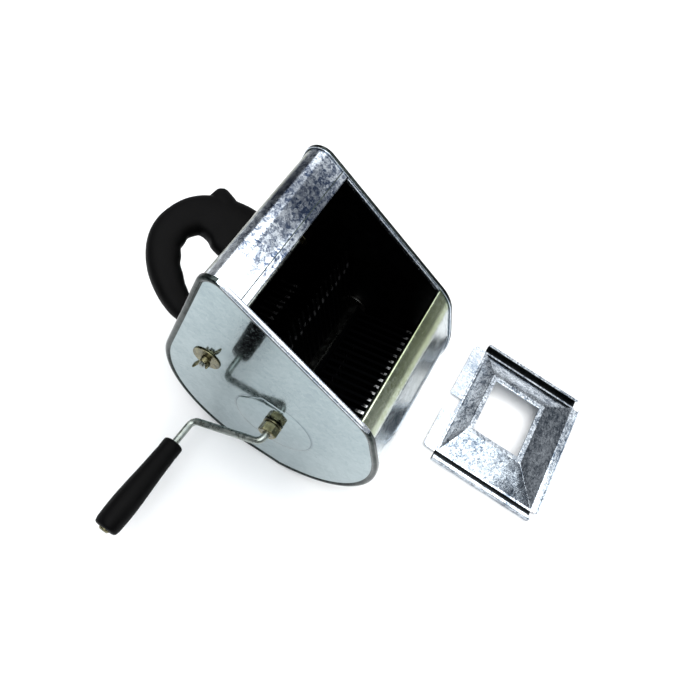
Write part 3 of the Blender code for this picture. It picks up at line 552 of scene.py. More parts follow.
def lathe(profile: Sequence[Point2], centre: Sequence[float], sides: int = 48,
          axis: Vector = Vector((1.0, 0.0, 0.0)), solid: bool = False) -> bmesh.types.BMesh:
    """Turn a profile about an axis.

    Args:
        profile: (along, radius) points.
        centre: a point on the axis, from which along is measured.
        sides: faces round the axis.
        axis: direction of the axis.
        solid: caps the ends instead of joining them.

    Returns:
        The turned mesh.
    """
    turn, base = axis.to_track_quat("X", "Z").to_matrix(), Vector(centre)
    rings = [[turn @ Vector((along, radius * math.cos(a), radius * math.sin(a))) + base
              for a in turns(sides)] for along, radius in profile]
    return loft(rings, closed=not solid)


def sweep(path: Sequence[Vector], radii: Sequence[float], sides: int) -> bmesh.types.BMesh:
    """Return a round bar along a path, with a radius at each point."""
    rings = []
    side: Vector | None = None
    for i, point in enumerate(path):
        ahead = (path[min(i + 1, len(path) - 1)] - path[max(i - 1, 0)]).normalized()
        side = ahead.orthogonal().normalized() if side is None else side
        side = (side - ahead * side.dot(ahead)).normalized()
        other = ahead.cross(side)
        rings.append([point + radii[i] * (math.cos(t) * side + math.sin(t) * other)
                      for t in turns(sides)])
    return loft(rings)


def rounded(corners: Sequence[Vector], radius: float, steps: int) -> list[Vector]:
    """Return a polyline whose inner corners are arcs of one radius."""
    path = [corners[0]]
    for before, corner, after in zip(corners, corners[1:], corners[2:]):
        back = (before - corner).normalized()
        forth = (after - corner).normalized()
        half = back.angle(forth) / 2
        centre = corner + (back + forth).normalized() * radius / math.sin(half)
        start = (corner + back * radius / math.tan(half) - centre).normalized()
        end = (corner + forth * radius / math.tan(half) - centre).normalized()
        path += [centre + start.slerp(end, k / steps) * radius for k in range(steps + 1)]
    path.append(corners[-1])
    return path


def smooth_rows(rows: Sequence[Sequence[float]], steps: int) -> list[tuple[float, ...]]:
    """Return rows of numbers with smooth steps between them."""
    out = []
    last = len(rows) - 1
    for i in range(last):
        a, b = rows[max(i - 1, 0)], rows[i]
        c, d = rows[i + 1], rows[min(i + 2, last)]
        for k in range(steps):
            t = k / steps
            out.append(tuple(
                0.5 * (2 * q + (r - p) * t + (2 * p - 5 * q + 4 * r - s) * t * t
                       + (3 * q - p - 3 * r + s) * t ** 3)
                for p, q, r, s in zip(a, b, c, d)))
    out.append(tuple(rows[-1]))
    return out


def thick_line(path: Sequence[Vector], thickness: float) -> list[Point2]:
    """Return the closed outline of a sheet whose middle follows a 2-D path."""
    left, right = [], []
    for i, point in enumerate(path):
        before = (point - path[i - 1]).normalized() if i else None
        after = (path[i + 1] - point).normalized() if i + 1 < len(path) else None
        first, last = before or after, after or before
        normal = Vector((-first.y - last.y, first.x + last.x)).normalized()
        reach = thickness / 2 / max(0.3, normal.dot(Vector((-first.y, first.x))))
        left.append(tuple(point + normal * reach))
        right.append(tuple(point - normal * reach))
    return left + right[::-1]


def folded(corners: Sequence[Point2], radius: float, sheet: float) -> list[Point2]:
    """Return the outline of a sheet that is bent at the corners of its middle."""
    path = rounded([Vector((*corner, 0.0)) for corner in corners], radius, 5)
    return thick_line([point.to_2d() for point in path], sheet)


def hexagon_nut(centre: Point2, flats: float, bore: float, low: float, high: float,
                turn: float = 20.0) -> bmesh.types.BMesh:
    """Return a hexagon nut on an X axis, with coned corners and a countersunk bore."""
    cone, face, sixth = flats * 0.09, flats * 0.478, math.pi / 3
    hexagon = (low, low + cone * 0.35, low + cone * 0.7, low + cone, high - cone,
               high - cone * 0.7, high - cone * 0.35, high)
    stations = [(low, bore + 0.0006, False), *((x, 0.0, True) for x in hexagon),
                (high, bore + 0.0006, False), (high - 0.0006, bore, False),
                (low + 0.0006, bore, False)]
    rings = []
    for x, radius, hexagonal in stations:
        ring = []
        for angle in turns(72):
            reach = radius
            if hexagonal:
                flat = (flats / 2) / math.cos((angle + sixth / 2) % sixth - sixth / 2)
                reach = min(flat, face + min(x - low, high - x) * 1.75)
            way = angle + math.radians(turn)
            ring.append((x, centre[0] + reach * math.cos(way), centre[1] + reach * math.sin(way)))
        rings.append(ring)
    return loft(rings, closed=True)


def washer(centre: Point2, bore: float, radius: float, low: float, high: float,
           sides: int = 64) -> bmesh.types.BMesh:
    """Return a stamped washer on an X axis with one rounded and one sheared edge."""
    soft = (high - low) * 0.3
    profile = ((low, bore), (low, radius - soft), (low + soft * 0.4, radius - soft * 0.3),
               (low + soft, radius), (high - soft, radius),
               (high - soft * 0.4, radius - soft * 0.3), (high, radius - soft),
               (high, bore + soft), (high - soft, bore))
    return lathe(profile, (0.0, *centre), sides)


def thread(start: float, end: float, radius: float, pitch: float) -> list[Point2]:
    """Return a threaded bar's (along, radius) profile, coned at its end."""
    way = math.copysign(1.0, end - start)
    count = int(abs(end - start) / pitch)
    profile = []
    for i in range(count):
        base = start + way * pitch * i
        profile += [(base, radius), (base + way * pitch * 0.45, radius * 0.885),
                    (base + way * pitch * 0.55, radius * 0.885)]
    last = start + way * pitch * count
    profile += [(last, radius * 0.93), (end, radius * 0.80)]
    return profile


@dataclass
class Bench:
    """Turns meshes in casing axes into finished pieces of the frame."""

    finishes: Finishes
    origin: Vector
    count: int = 0

    def loose(self, name: str, shape: bmesh.types.BMesh, move: bool = True) -> bpy.types.Object:
        """Make an unfinished object with clean outward faces.

        Args:
            name: the object's name.
            shape: its mesh, which is freed.
            move: takes it from casing axes to the frame.

        Returns:
            The object, at the origin.
        """
        bmesh.ops.remove_doubles(shape, verts=shape.verts, dist=0.000002)
        bmesh.ops.recalc_face_normals(shape, faces=shape.faces)
        if move:
            bmesh.ops.translate(shape, verts=shape.verts, vec=self.origin)
        mesh = bpy.data.meshes.new(name)
        shape.to_mesh(mesh)
        shape.free()
        made = bpy.data.objects.new(name, mesh)
        bpy.context.scene.collection.objects.link(made)
        return made

    @staticmethod
    def apply(made: bpy.types.Object) -> None:
        """Turn live modifiers into plain mesh."""
        evaluated = made.evaluated_get(bpy.context.evaluated_depsgraph_get())
        mesh = bpy.data.meshes.new_from_object(evaluated)
        made.modifiers.clear()
        made.data = mesh

    def cut(self, made: bpy.types.Object, tool: bmesh.types.BMesh) -> None:
        """Cut a closed shape out of an object."""
        helper = self.loose("cutter", tool)
        change = made.modifiers.new("cut", "BOOLEAN")
        change.operation = "DIFFERENCE"
        change.solver = "EXACT"
        change.object = helper
        self.apply(made)
        bpy.data.objects.remove(helper)

    def cast(self, made: bpy.types.Object, cell: float, passes: int) -> None:
        """Melt joined shapes into one skin, with the soft corners of a casting."""
        skin = made.modifiers.new("skin", "REMESH")
        skin.mode = "VOXEL"
        skin.voxel_size = cell
        soft = made.modifiers.new("soft", "SMOOTH")
        soft.factor = 0.5
        soft.iterations = passes
        self.apply(made)

    def finish(self, made: bpy.types.Object, dress: Any, slot: Slot, node: str,
               body: str = "casing", sharp: float = 40.0) -> None:
        """Dress an object and give it its place in the frame.

        Args:
            made: the object.
            dress: its finish, or a tuple of them by material number.
            slot: the record's slot that its finish belongs to; not used.
            node: the frame's node that it stands for.
            body: the body that it rides on.
            sharp: angle in degrees above which an edge stays crisp.
        """
        mesh = made.data
        mesh.shade_smooth()
        mesh.set_sharp_from_angle(angle=math.radians(sharp))
        numbers = [0] * len(mesh.polygons)
        mesh.polygons.foreach_get("material_index", numbers)
        mesh.materials.clear()
        finishes = dress if isinstance(dress, tuple) else (dress,)
        for finish in finishes:
            mesh.materials.append(self.finishes.get(finish))
        if len(finishes) > 1:
            mesh.polygons.foreach_set("material_index", numbers)
        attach(made, body)
        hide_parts(node)
        self.count += 1
        LOG.info("%s rides on %s, %d faces", made.name, body, len(mesh.polygons))

    def piece(self, name: str, shape: bmesh.types.BMesh, dress: Any, slot: Slot, node: str,
              body: str = "casing", sharp: float = 40.0) -> None:
        """Make and finish a piece that needs no modifier; see loose and finish."""
        self.finish(self.loose(name, shape), dress, slot, node, body, sharp)


class RowTree:
    """Geometry nodes that set one part along a row and turn the row to its place."""

    def __init__(self) -> None:
        """Build the tree once; every row uses it with its own sizes."""
        group = bpy.data.node_groups.new("row_of_parts", "GeometryNodeTree")
        face = group.interface
        for name, kind in (("Base", "Geometry"), ("Part", "Object"), ("Count", "Int"),
                           ("Pitch", "Float"), ("Height", "Float"), ("Across", "Float"),
                           ("Wander", "Vector"), ("Turn", "Vector"), ("Place", "Vector"),
                           ("Seed", "Int"), ("Finish", "Material")):
            face.new_socket(name=name, in_out="INPUT", socket_type=f"NodeSocket{kind}")
        face.new_socket(name="Row", in_out="OUTPUT", socket_type="NodeSocketGeometry")
        self.group = group
        self.keys = {item.name: item.identifier for item in face.items_tree}
        tree = Tree(group)
        start = group.nodes.new("NodeGroupInput")
        given = {s.name: Wire(tree, s) for s in start.outputs if s.name}
        low = given["Pitch"] * (given["Count"] - 1) * -0.5
        first = tree.node("ShaderNodeCombineXYZ", {}, {
            "X": low, "Y": given["Across"], "Z": given["Height"]})
        step = tree.node("ShaderNodeCombineXYZ", {}, {"X": given["Pitch"]})
        line = tree.node("GeometryNodeMeshLine", {"mode": "OFFSET"}, {
            "Count": given["Count"], "Start Location": first, "Offset": step})
        part = tree.node("GeometryNodeObjectInfo", {}, {"Object": given["Part"]}, "Geometry")
        least = tree.vector("MULTIPLY", given["Wander"], (-1.0, -1.0, -1.0))
        lean = tree.node("FunctionNodeRandomValue", {"data_type": "FLOAT_VECTOR"}, {
            0: least, 1: given["Wander"], "Seed": given["Seed"]})
        row = tree.node("GeometryNodeInstanceOnPoints", {}, {
            "Points": line, "Instance": part, "Rotation": lean})
        both = group.nodes.new("GeometryNodeJoinGeometry")
        group.links.new(row.socket, both.inputs[0])
        group.links.new(given["Base"].socket, both.inputs[0])
        turned = tree.node("GeometryNodeTransform", {}, {
            "Geometry": Wire(tree, both.outputs[0]), "Translation": given["Place"],
            "Rotation": given["Turn"]})
        real = tree.node("GeometryNodeRealizeInstances", {}, {"Geometry": turned})
        dressed = tree.node("GeometryNodeSetMaterial", {}, {
            "Geometry": real, "Material": given["Finish"]})
        end = group.nodes.new("NodeGroupOutput")
        group.links.new(dressed.socket, end.inputs[0])

    def run(self, base: bpy.types.Object, **sizes: Any) -> None:
        """Run the tree on an object and keep the result as plain mesh.

        Args:
            base: the object whose mesh the row stands on.
            sizes: the tree's inputs by name.
        """
        change = base.modifiers.new("row", "NODES")
        change.node_group = self.group
        for name, value in sizes.items():
            change[self.keys[name]] = value
        Bench.apply(base)


# ---------------------------------------------------------------- casing

@dataclass
class Casing:
    """Drum of wrapped sheet between two hooped cheeks, open on its front slope."""

    bench: Bench
    width: float = 0.230
    belly_radius: float = 0.1585
    nose_radius: float = 0.0575
    nose_proud: float = 0.0085
    nose_angle: float = math.radians(133.6)
    corner_radius: float = 0.0205
    corner_centre: Point2 = (0.1046, 0.2140)
    flat_depth: float = 0.007
    sheet: float = 0.0010
    gap: float = 0.0003
    top_strip: float = 0.031
    mouth_hem: float = 0.006
    bright_rim: float = 0.0062
    hem_band: float = 0.0085
    hem_step: float = 0.0007
    cheek_sheet: float = 0.0012
    cheek_dish: float = 0.0016
    rim_depth: float = 0.0070
    rim_band: float = 0.0050
    boss_radius: float = 0.060
    boss_height: float = 0.0006
    strip_width: float = 0.0050
    strip_depth: float = 0.010
    shaft_radius: float = 0.008
    bush_wall: float = 0.0040
    flange_radius: float = 0.020
    flange: float = 0.003
    axle: Point2 = (-0.0125, -0.019)
    striker: Point2 = (0.0995455, 0.0492587)
    striker_radius: float = 0.004
    striker_travel: float = 0.008

    def __post_init__(self) -> None:
        """Work out the outline's circles, tangents and directions."""
        self.half = self.width / 2
        self.inside = self.cheek_dish + self.cheek_sheet
        self.end = self.half - self.inside - self.gap
        reach = self.belly_radius + self.nose_proud - self.nose_radius
        nose = (reach * math.cos(self.nose_angle), reach * math.sin(self.nose_angle))
        self.nose = (nose, self.nose_radius, 26)
        self.belly = ((0.0, 0.0), self.belly_radius, 130)
        self.corner = (self.corner_centre, self.corner_radius, 34)
        full = 2 * math.pi
        self.front_angle = self.tangent(self.corner, self.nose) % full
        self.nose_end = self.tangent(self.nose, self.belly) % full
        self.back_angle = self.tangent(self.belly, self.corner) % full
        front, back = self.front_angle, self.back_angle
        self.front_out = Vector((0.0, math.cos(front), math.sin(front)))
        self.front_up = Vector((0.0, math.sin(front), -math.cos(front)))
        self.back_out = Vector((0.0, math.cos(back), math.sin(back)))
        self.back_up = Vector((0.0, -math.sin(back), math.cos(back)))
        way = Vector((self.striker[0] - self.axle[0], self.striker[1] - self.axle[1]))
        self.striker_way = way.normalized()

    @staticmethod
    def tangent(first: Any, second: Any) -> float:
        """Return the normal's angle of the line that wraps two circles in turn."""
        (y1, z1), r1, _ = first
        (y2, z2), r2, _ = second
        apart = math.hypot(y2 - y1, z2 - z1)
        return math.atan2(z2 - z1, y2 - y1) - math.acos((r1 - r2) / apart)

    @staticmethod
    def arc(centre: Point2, radius: float, start: float, end: float, steps: int) -> list[Point2]:
        """Return points along an arc."""
        angles = [start + (end - start) * i / steps for i in range(steps + 1)]
        return [(centre[0] + radius * math.cos(a), centre[1] + radius * math.sin(a))
                for a in angles]

    def outline(self, offset: float) -> list[Point2]:
        """Return the outline from the mouth's lower edge round to the top corner."""
        full = self.belly_radius + offset
        half_flat = math.acos((full - self.flat_depth) / full)
        low, high = 1.5 * math.pi - half_flat, 1.5 * math.pi + half_flat
        back = self.back_angle + 2 * math.pi
        steps = self.belly[2]
        near = round(steps * (low - self.nose_end) / (back - self.nose_end))
        points = self.arc(self.nose[0], self.nose_radius + offset, self.front_angle,
                          self.nose_end, self.nose[2])
        points += self.arc((0.0, 0.0), full, self.nose_end, low, near)
        points += self.arc((0.0, 0.0), full, high, back, steps - near)
        points += self.arc(self.corner_centre, self.corner_radius + offset, self.back_angle,
                           self.front_angle, self.corner[2])
        return points

    def mouth_point(self, from_corner: float, depth: float) -> Vector:
        """Return a point on the front slope, down from the top corner and inwards."""
        start = Vector((0.0, *self.corner_centre)) + self.front_out * (self.corner_radius - depth)
        return start - self.front_up * from_corner

    def mouth_length(self) -> float:
        """Return the mouth's length along the slope."""
        low = Vector((0.0, *self.outline(0.0)[0]))
        return (self.mouth_point(self.top_strip, 0.0) - low).length

    def wall_point(self, x: float, out: float, up: float) -> Vector:
        """Return a point over the back wall: along X, out from its face, up from its foot."""
        base = self.back_out * (self.belly_radius + out)
        return Vector((x, 0.0, 0.0)) + base + self.back_up * up

    def build(self) -> None:
        """Build every fixed piece of the drum."""
        for side in Side:
            self.build_cheek(side)
            self.build_strip(side)
            self.build_bush(side)
        self.build_wrapper()

    def build_cheek(self, side: Side) -> None:
        """End plate: a disc with a stepped boss and a rolled rim that hoops the sheet."""
        sign, dish, boss = side.value, self.cheek_dish, self.boss_radius
        hole = self.shaft_radius + self.gap + self.bush_wall + self.gap
        band = self.outline(-self.rim_band - 0.0010)
        angles = [math.atan2(z - self.axle[1], y - self.axle[0]) for y, z in band]

        def circle(radius: float) -> list[Point2]:
            """Return a ring round the axle that matches the outline's points."""
            return [(self.axle[0] + radius * math.cos(a), self.axle[1] + radius * math.sin(a))
                    for a in angles]

        def between(first: list[Point2], second: list[Point2], share: float) -> list[Point2]:
            """Return a ring part way between two rings."""
            return [(p[0] + (q[0] - p[0]) * share, p[1] + (q[1] - p[1]) * share)
                    for p, q in zip(first, second)]

        rings = [(dish - self.boss_height * fall, circle(radius)) for fall, radius in (
            (1.0, hole), (1.0, boss - 0.0022), (0.85, boss - 0.0012), (0.5, boss - 0.0002),
            (0.12, boss + 0.0008), (0.0, boss + 0.0018))]
        edge = rings[-1][1]
        rings += [(dish, between(edge, band, share)) for share in (0.3, 0.65, 1.0)]
        section = ((1.6, -5.4), (1.55, -4.9), (1.35, -4.45), (0.95, -3.9), (0.5, -3.2),
                   (0.18, -2.4), (0.02, -1.5), (0.0, -0.8), (0.12, 0.1), (0.45, 0.95),
                   (0.95, 1.65), (1.65, 2.2), (2.4, 2.45), (3.2, 2.5), (5.0, 2.5), (5.3, 2.2),
                   (5.6, 2.2), (5.9, 2.45), (6.4, 2.4), (6.8, 2.0), (7.0, 1.3), (6.8, 0.7),
                   (6.3, 0.35), (2.8, 0.3))
        first = len(rings)
        rings += [(inset * MM, self.outline(offset * MM)) for inset, offset in section]
        last = len(rings) - 1
        back = self.outline(self.gap)
        rings += [(self.inside, between(back, circle(hole), s)) for s in (0.35, 0.7, 1.0)]
        # Material numbers: the rolled rim gets near-black painted shade, the cheek's inner faces
        # near-black painted shade, and the rim's innermost rows a painted highlight.
        rim, inner, painted_highlight = 1, 2, 3
        rows = {row: painted_highlight if rings[row][0] > self.bright_rim else rim
                for row in range(first, last)}
        rows.update({row: inner for row in range(last, len(rings))})
        shape = loft([[(sign * (self.half - inset), y, z) for y, z in ring]
                      for inset, ring in rings], closed=True, rows=rows)
        # Painted highlight: on the crank's side the rim's faces towards the mouth get the pale zinc
        # too.
        level = self.front_out.dot(self.mouth_point(0.0, 0.0)) + self.gap
        for face in shape.faces:
            high = self.front_out.dot(face.calc_center_median()) > level
            if side is Side.CRANK and face.material_index == rim and high:
                face.material_index = painted_highlight
        made = self.bench.loose(f"end_plate_{side.label}", shape)
        spare = 0.01
        near, far = ends(side, self.half + spare, -self.rim_depth - spare)
        self.bench.cut(made, self.slot_cutter(near, far))
        wear = self.bench.finishes
        self.bench.finish(made, (wear.cheek, wear.rim, wear.inside, wear.tab), Slot.CHEEK,
                          f"cheek_{side.label}")

    def slot_cutter(self, low: float, high: float) -> bmesh.types.BMesh:
        """Return the slot in which the striker bar is set."""
        radius, quarter = self.striker_radius + 0.0005, math.pi / 2
        heading = math.atan2(self.striker_way.y, self.striker_way.x)
        far = Vector(self.striker) + self.striker_way * self.striker_travel
        outline = self.arc(self.striker, radius, heading + quarter, heading + 3 * quarter, 16)
        outline += self.arc(tuple(far), radius, heading - quarter, heading + quarter, 16)
        return bar(outline, (low, high))

    def build_wrapper(self) -> None:
        """Sheet wrapped round belly, back and top, with both mouth edges folded in."""
        middle = [Vector(p) for p in self.outline(-self.sheet / 2)]
        inward = Vector((-self.front_out.y, -self.front_out.z))
        top = self.mouth_point(self.top_strip, self.sheet / 2)
        last = Vector((top.y, top.z))
        way = (middle[-1] - last).normalized()
        low_hem = [middle[0] + inward * self.mouth_hem, middle[0], middle[1]]
        step = [last + way * (self.hem_band + 0.0012),
                last + way * (self.hem_band + 0.0006) - inward * self.hem_step * 0.5]
        high_hem = [last + way * self.hem_band - inward * self.hem_step,
                    last - inward * self.hem_step, last + inward * self.mouth_hem]
        low_path = rounded([p.to_3d() for p in low_hem], 0.0011, 5)
        high_path = rounded([p.to_3d() for p in high_hem], 0.0016, 5)
        path = [p.to_2d() for p in low_path] + middle[2:] + step + [p.to_2d() for p in high_path]
        count, start = len(path), len(low_path) + len(middle) - 2
        # Material numbers: the inner faces get near-black painted shade, and the step between hem
        # band and strip a dark painted shade line.
        inner, line = 1, 2
        columns = {i: inner for i in range(len(low_path), count - len(high_path) - 1)}
        columns.update({2 * count - 2 - start: line, 2 * count - 3 - start: line})
        shape = bar(thick_line(path, self.sheet), evenly(self.end, 12), columns)
        wear = self.bench.finishes
        self.bench.piece("wrapped_sheet", shape, (wear.outside, wear.inside, wear.rim), Slot.ZINC,
                         "wrapper_sheet")

    def build_strip(self, side: Side) -> None:
        """Folded angle between one end of the mouth and its cheek."""
        half_sheet = self.sheet / 2
        outside, inside = self.end - half_sheet, self.end - self.strip_width + half_sheet
        outline = folded([(outside, self.strip_depth), (outside, half_sheet),
                          (inside, half_sheet), (inside, half_sheet + 0.0022)], 0.0009, self.sheet)
        start = self.top_strip + self.sheet + self.gap
        finish = self.top_strip + self.mouth_length() - self.sheet - self.gap
        rings = []
        for i in range(9):
            base = self.mouth_point(start + (finish - start) * i / 8, 0.0)
            rings.append([(side.value * x, *(base - self.front_out * depth)[1:])
                          for x, depth in outline])
        # Painted highlight: the strip gets the pale zinc for the bright line along the mouth's end.
        self.bench.piece(f"mouth_edge_{side.label}", loft(rings), self.bench.finishes.tab,
                         Slot.ZINC, f"mouth_strip_{side.label}")

    def build_bush(self, side: Side) -> None:
        """Flanged bush that carries the shaft in a cheek."""
        bore = self.shaft_radius + self.gap
        sleeve = bore + self.bush_wall
        face, end, back = self.half - 0.0004, self.end, self.end - self.flange
        flange, soft = self.flange_radius, 0.0006
        section = ((face - soft, bore), (face, bore + soft), (face, sleeve - soft),
                   (face - soft, sleeve), (end, sleeve), (end, flange - soft),
                   (end - soft, flange), (back + soft, flange), (back, flange - soft),
                   (back, bore + soft), (back + soft, bore))
        shape = lathe([(side.value * x, r) for x, r in section], (0.0, *self.axle), 64)
        self.bench.piece(f"bush_{side.label}", shape, self.bench.finishes.bush, Slot.BUSH,
                         f"axle_bush_{side.label}")


@dataclass
class Fitting:
    """Pieces that are sized from the casing and made on its bench."""

    casing: Casing

    def __post_init__(self) -> None:
        """Keep the casing's bench, finishes and gap at hand."""
        self.bench = self.casing.bench
        self.finishes = self.bench.finishes
        self.gap = self.casing.gap


@dataclass
class CarryHandle(Fitting):
    """Moulded arch on the back wall, with finger grooves and a horn at its far shoulder."""

    rise: float = 0.060
    near_foot: float = -0.089
    far_foot: float = 0.047
    reach: float = 0.083
    depth: float = 0.016
    groove: float = 0.0016
    groove_count: float = 6.0
    groove_start: float = 0.12
    groove_span: float = 0.62
    screw_radius: float = 0.0025
    screw_depth: float = 0.016
    head_radius: float = 0.005
    head: float = 0.0025

    def stations(self) -> list[tuple[float, ...]]:
        """Return smooth stations: x, reach, half width, depth share, tilt in degrees."""
        near, far, reach = self.near_foot, self.far_foot, self.reach
        rows = ((near - 0.001, 0.0, 0.0160, 0.80, 90), (near, 0.013, 0.0165, 0.86, 80),
                (near + 0.010, reach * 0.40, 0.0190, 0.94, 63),
                (near + 0.027, reach * 0.67, 0.0208, 1.0, 47),
                (near + 0.050, reach * 0.88, 0.0220, 1.0, 22),
                (near + 0.074, reach * 0.96, 0.0228, 1.0, 4),
                (far - 0.037, reach * 0.91, 0.0245, 1.0, -15),
                (far - 0.021, reach * 0.76, 0.0300, 1.0, -40),
                (far - 0.012, reach * 0.54, 0.0370, 1.0, -66),
                (far - 0.007, reach * 0.31, 0.0415, 1.02, -84),
                (far - 0.006, 0.010, 0.0435, 1.06, -90), (far - 0.006, 0.0, 0.0445, 1.10, -90))
        return smooth_rows(rows, 10)

    def oval(self, x: float, reach: float, half: float, depth: float, tilt: float,
             power: float, sides: int, ripple: float = 0.0) -> list[Vector]:
        """Return one section of the handle.

        Args:
            x: its place along the wall.
            reach: its distance from the wall.
            half: half its width.
            depth: its depth as a share of the handle's.
            tilt: its angle in degrees.
            power: below 1 makes it squarer.
            sides: number of its points.
            ripple: depth of a finger groove in its inner side.

        Returns:
            Points in casing axes.
        """
        sine, cosine = math.sin(math.radians(tilt)), math.cos(math.radians(tilt))
        ring = []
        for turn in turns(sides):
            wide = half * squared(math.cos(turn), power) + ripple * max(0.0, -math.cos(turn))
            deep = self.depth * depth * squared(math.sin(turn), power)
            ring.append(self.casing.wall_point(x - sine * wide, reach + cosine * wide,
                                               self.rise + deep))
        return ring

    def build(self) -> None:
        """Build the arch with its horn and foot plates, and the two screws."""
        stations = self.stations()
        rings = []
        for n, (x, reach, half, depth, tilt) in enumerate(stations):
            along = n / (len(stations) - 1) - self.groove_start
            grip = math.sin(math.pi * min(1.0, max(0.0, along / self.groove_span))) ** 0.5
            wave = 0.5 - 0.5 * math.cos(2 * math.pi * self.groove_count * along
                                        / self.groove_span)
            rings.append(self.oval(x, self.gap + reach, half, depth, tilt, 0.8, 48,
                                   self.groove * grip * wave))
        shape = loft(rings)
        near, far = self.near_foot, self.far_foot
        horn = ((far - 0.006, 0.038, 0.0315, 0.96), (far + 0.010, 0.050, 0.0265, 0.88),
                (far + 0.022, 0.060, 0.0175, 0.72), (far + 0.0315, 0.067, 0.0075, 0.45))
        loft([self.oval(*row, 35.0, 1.0, 24) for row in smooth_rows(horn, 5)], shape=shape)
        for foot, half in ((near - 0.001, 0.0175), (far - 0.006, 0.0460)):
            loft([self.oval(foot, out, half, 1.12, -90.0, 0.5, 48)
                  for out in (self.gap, 0.0030)], shape=shape)
        made = self.bench.loose("carry_arch", shape)
        self.bench.cast(made, 0.00125, 5)
        self.bench.finish(made, self.finishes.plastic, Slot.PLASTIC, "carry_handle", sharp=60)
        for label, foot in (("crank_side", near), ("far_side", far)):
            self.build_screw(label, foot)

    def build_screw(self, label: str, foot: float) -> None:
        """Pan-head screw from inside the drum into a foot."""
        base, head = -self.casing.sheet - self.gap, self.head
        dome = ((1.0, 0.55), (0.85, 0.8), (0.5, 0.96), (0.15, 1.0), (0.0, 1.0))
        profile = [(base - head, 0.0012)]
        profile += [(base - head * rise, self.head_radius * share) for rise, share in dome]
        profile += [(base, self.screw_radius)]
        profile += thread(base + 0.0015, self.screw_depth, self.screw_radius, 0.0011)
        place = self.casing.wall_point(foot, 0.0, self.rise)
        shape = lathe(profile, place, 32, self.casing.back_out, solid=True)
        self.bench.piece(f"foot_screw_{label}", shape, self.finishes.yellow, Slot.YELLOW,
                         f"handle_screw_{label}")


# ---------------------------------------------------------------- rotor and crank

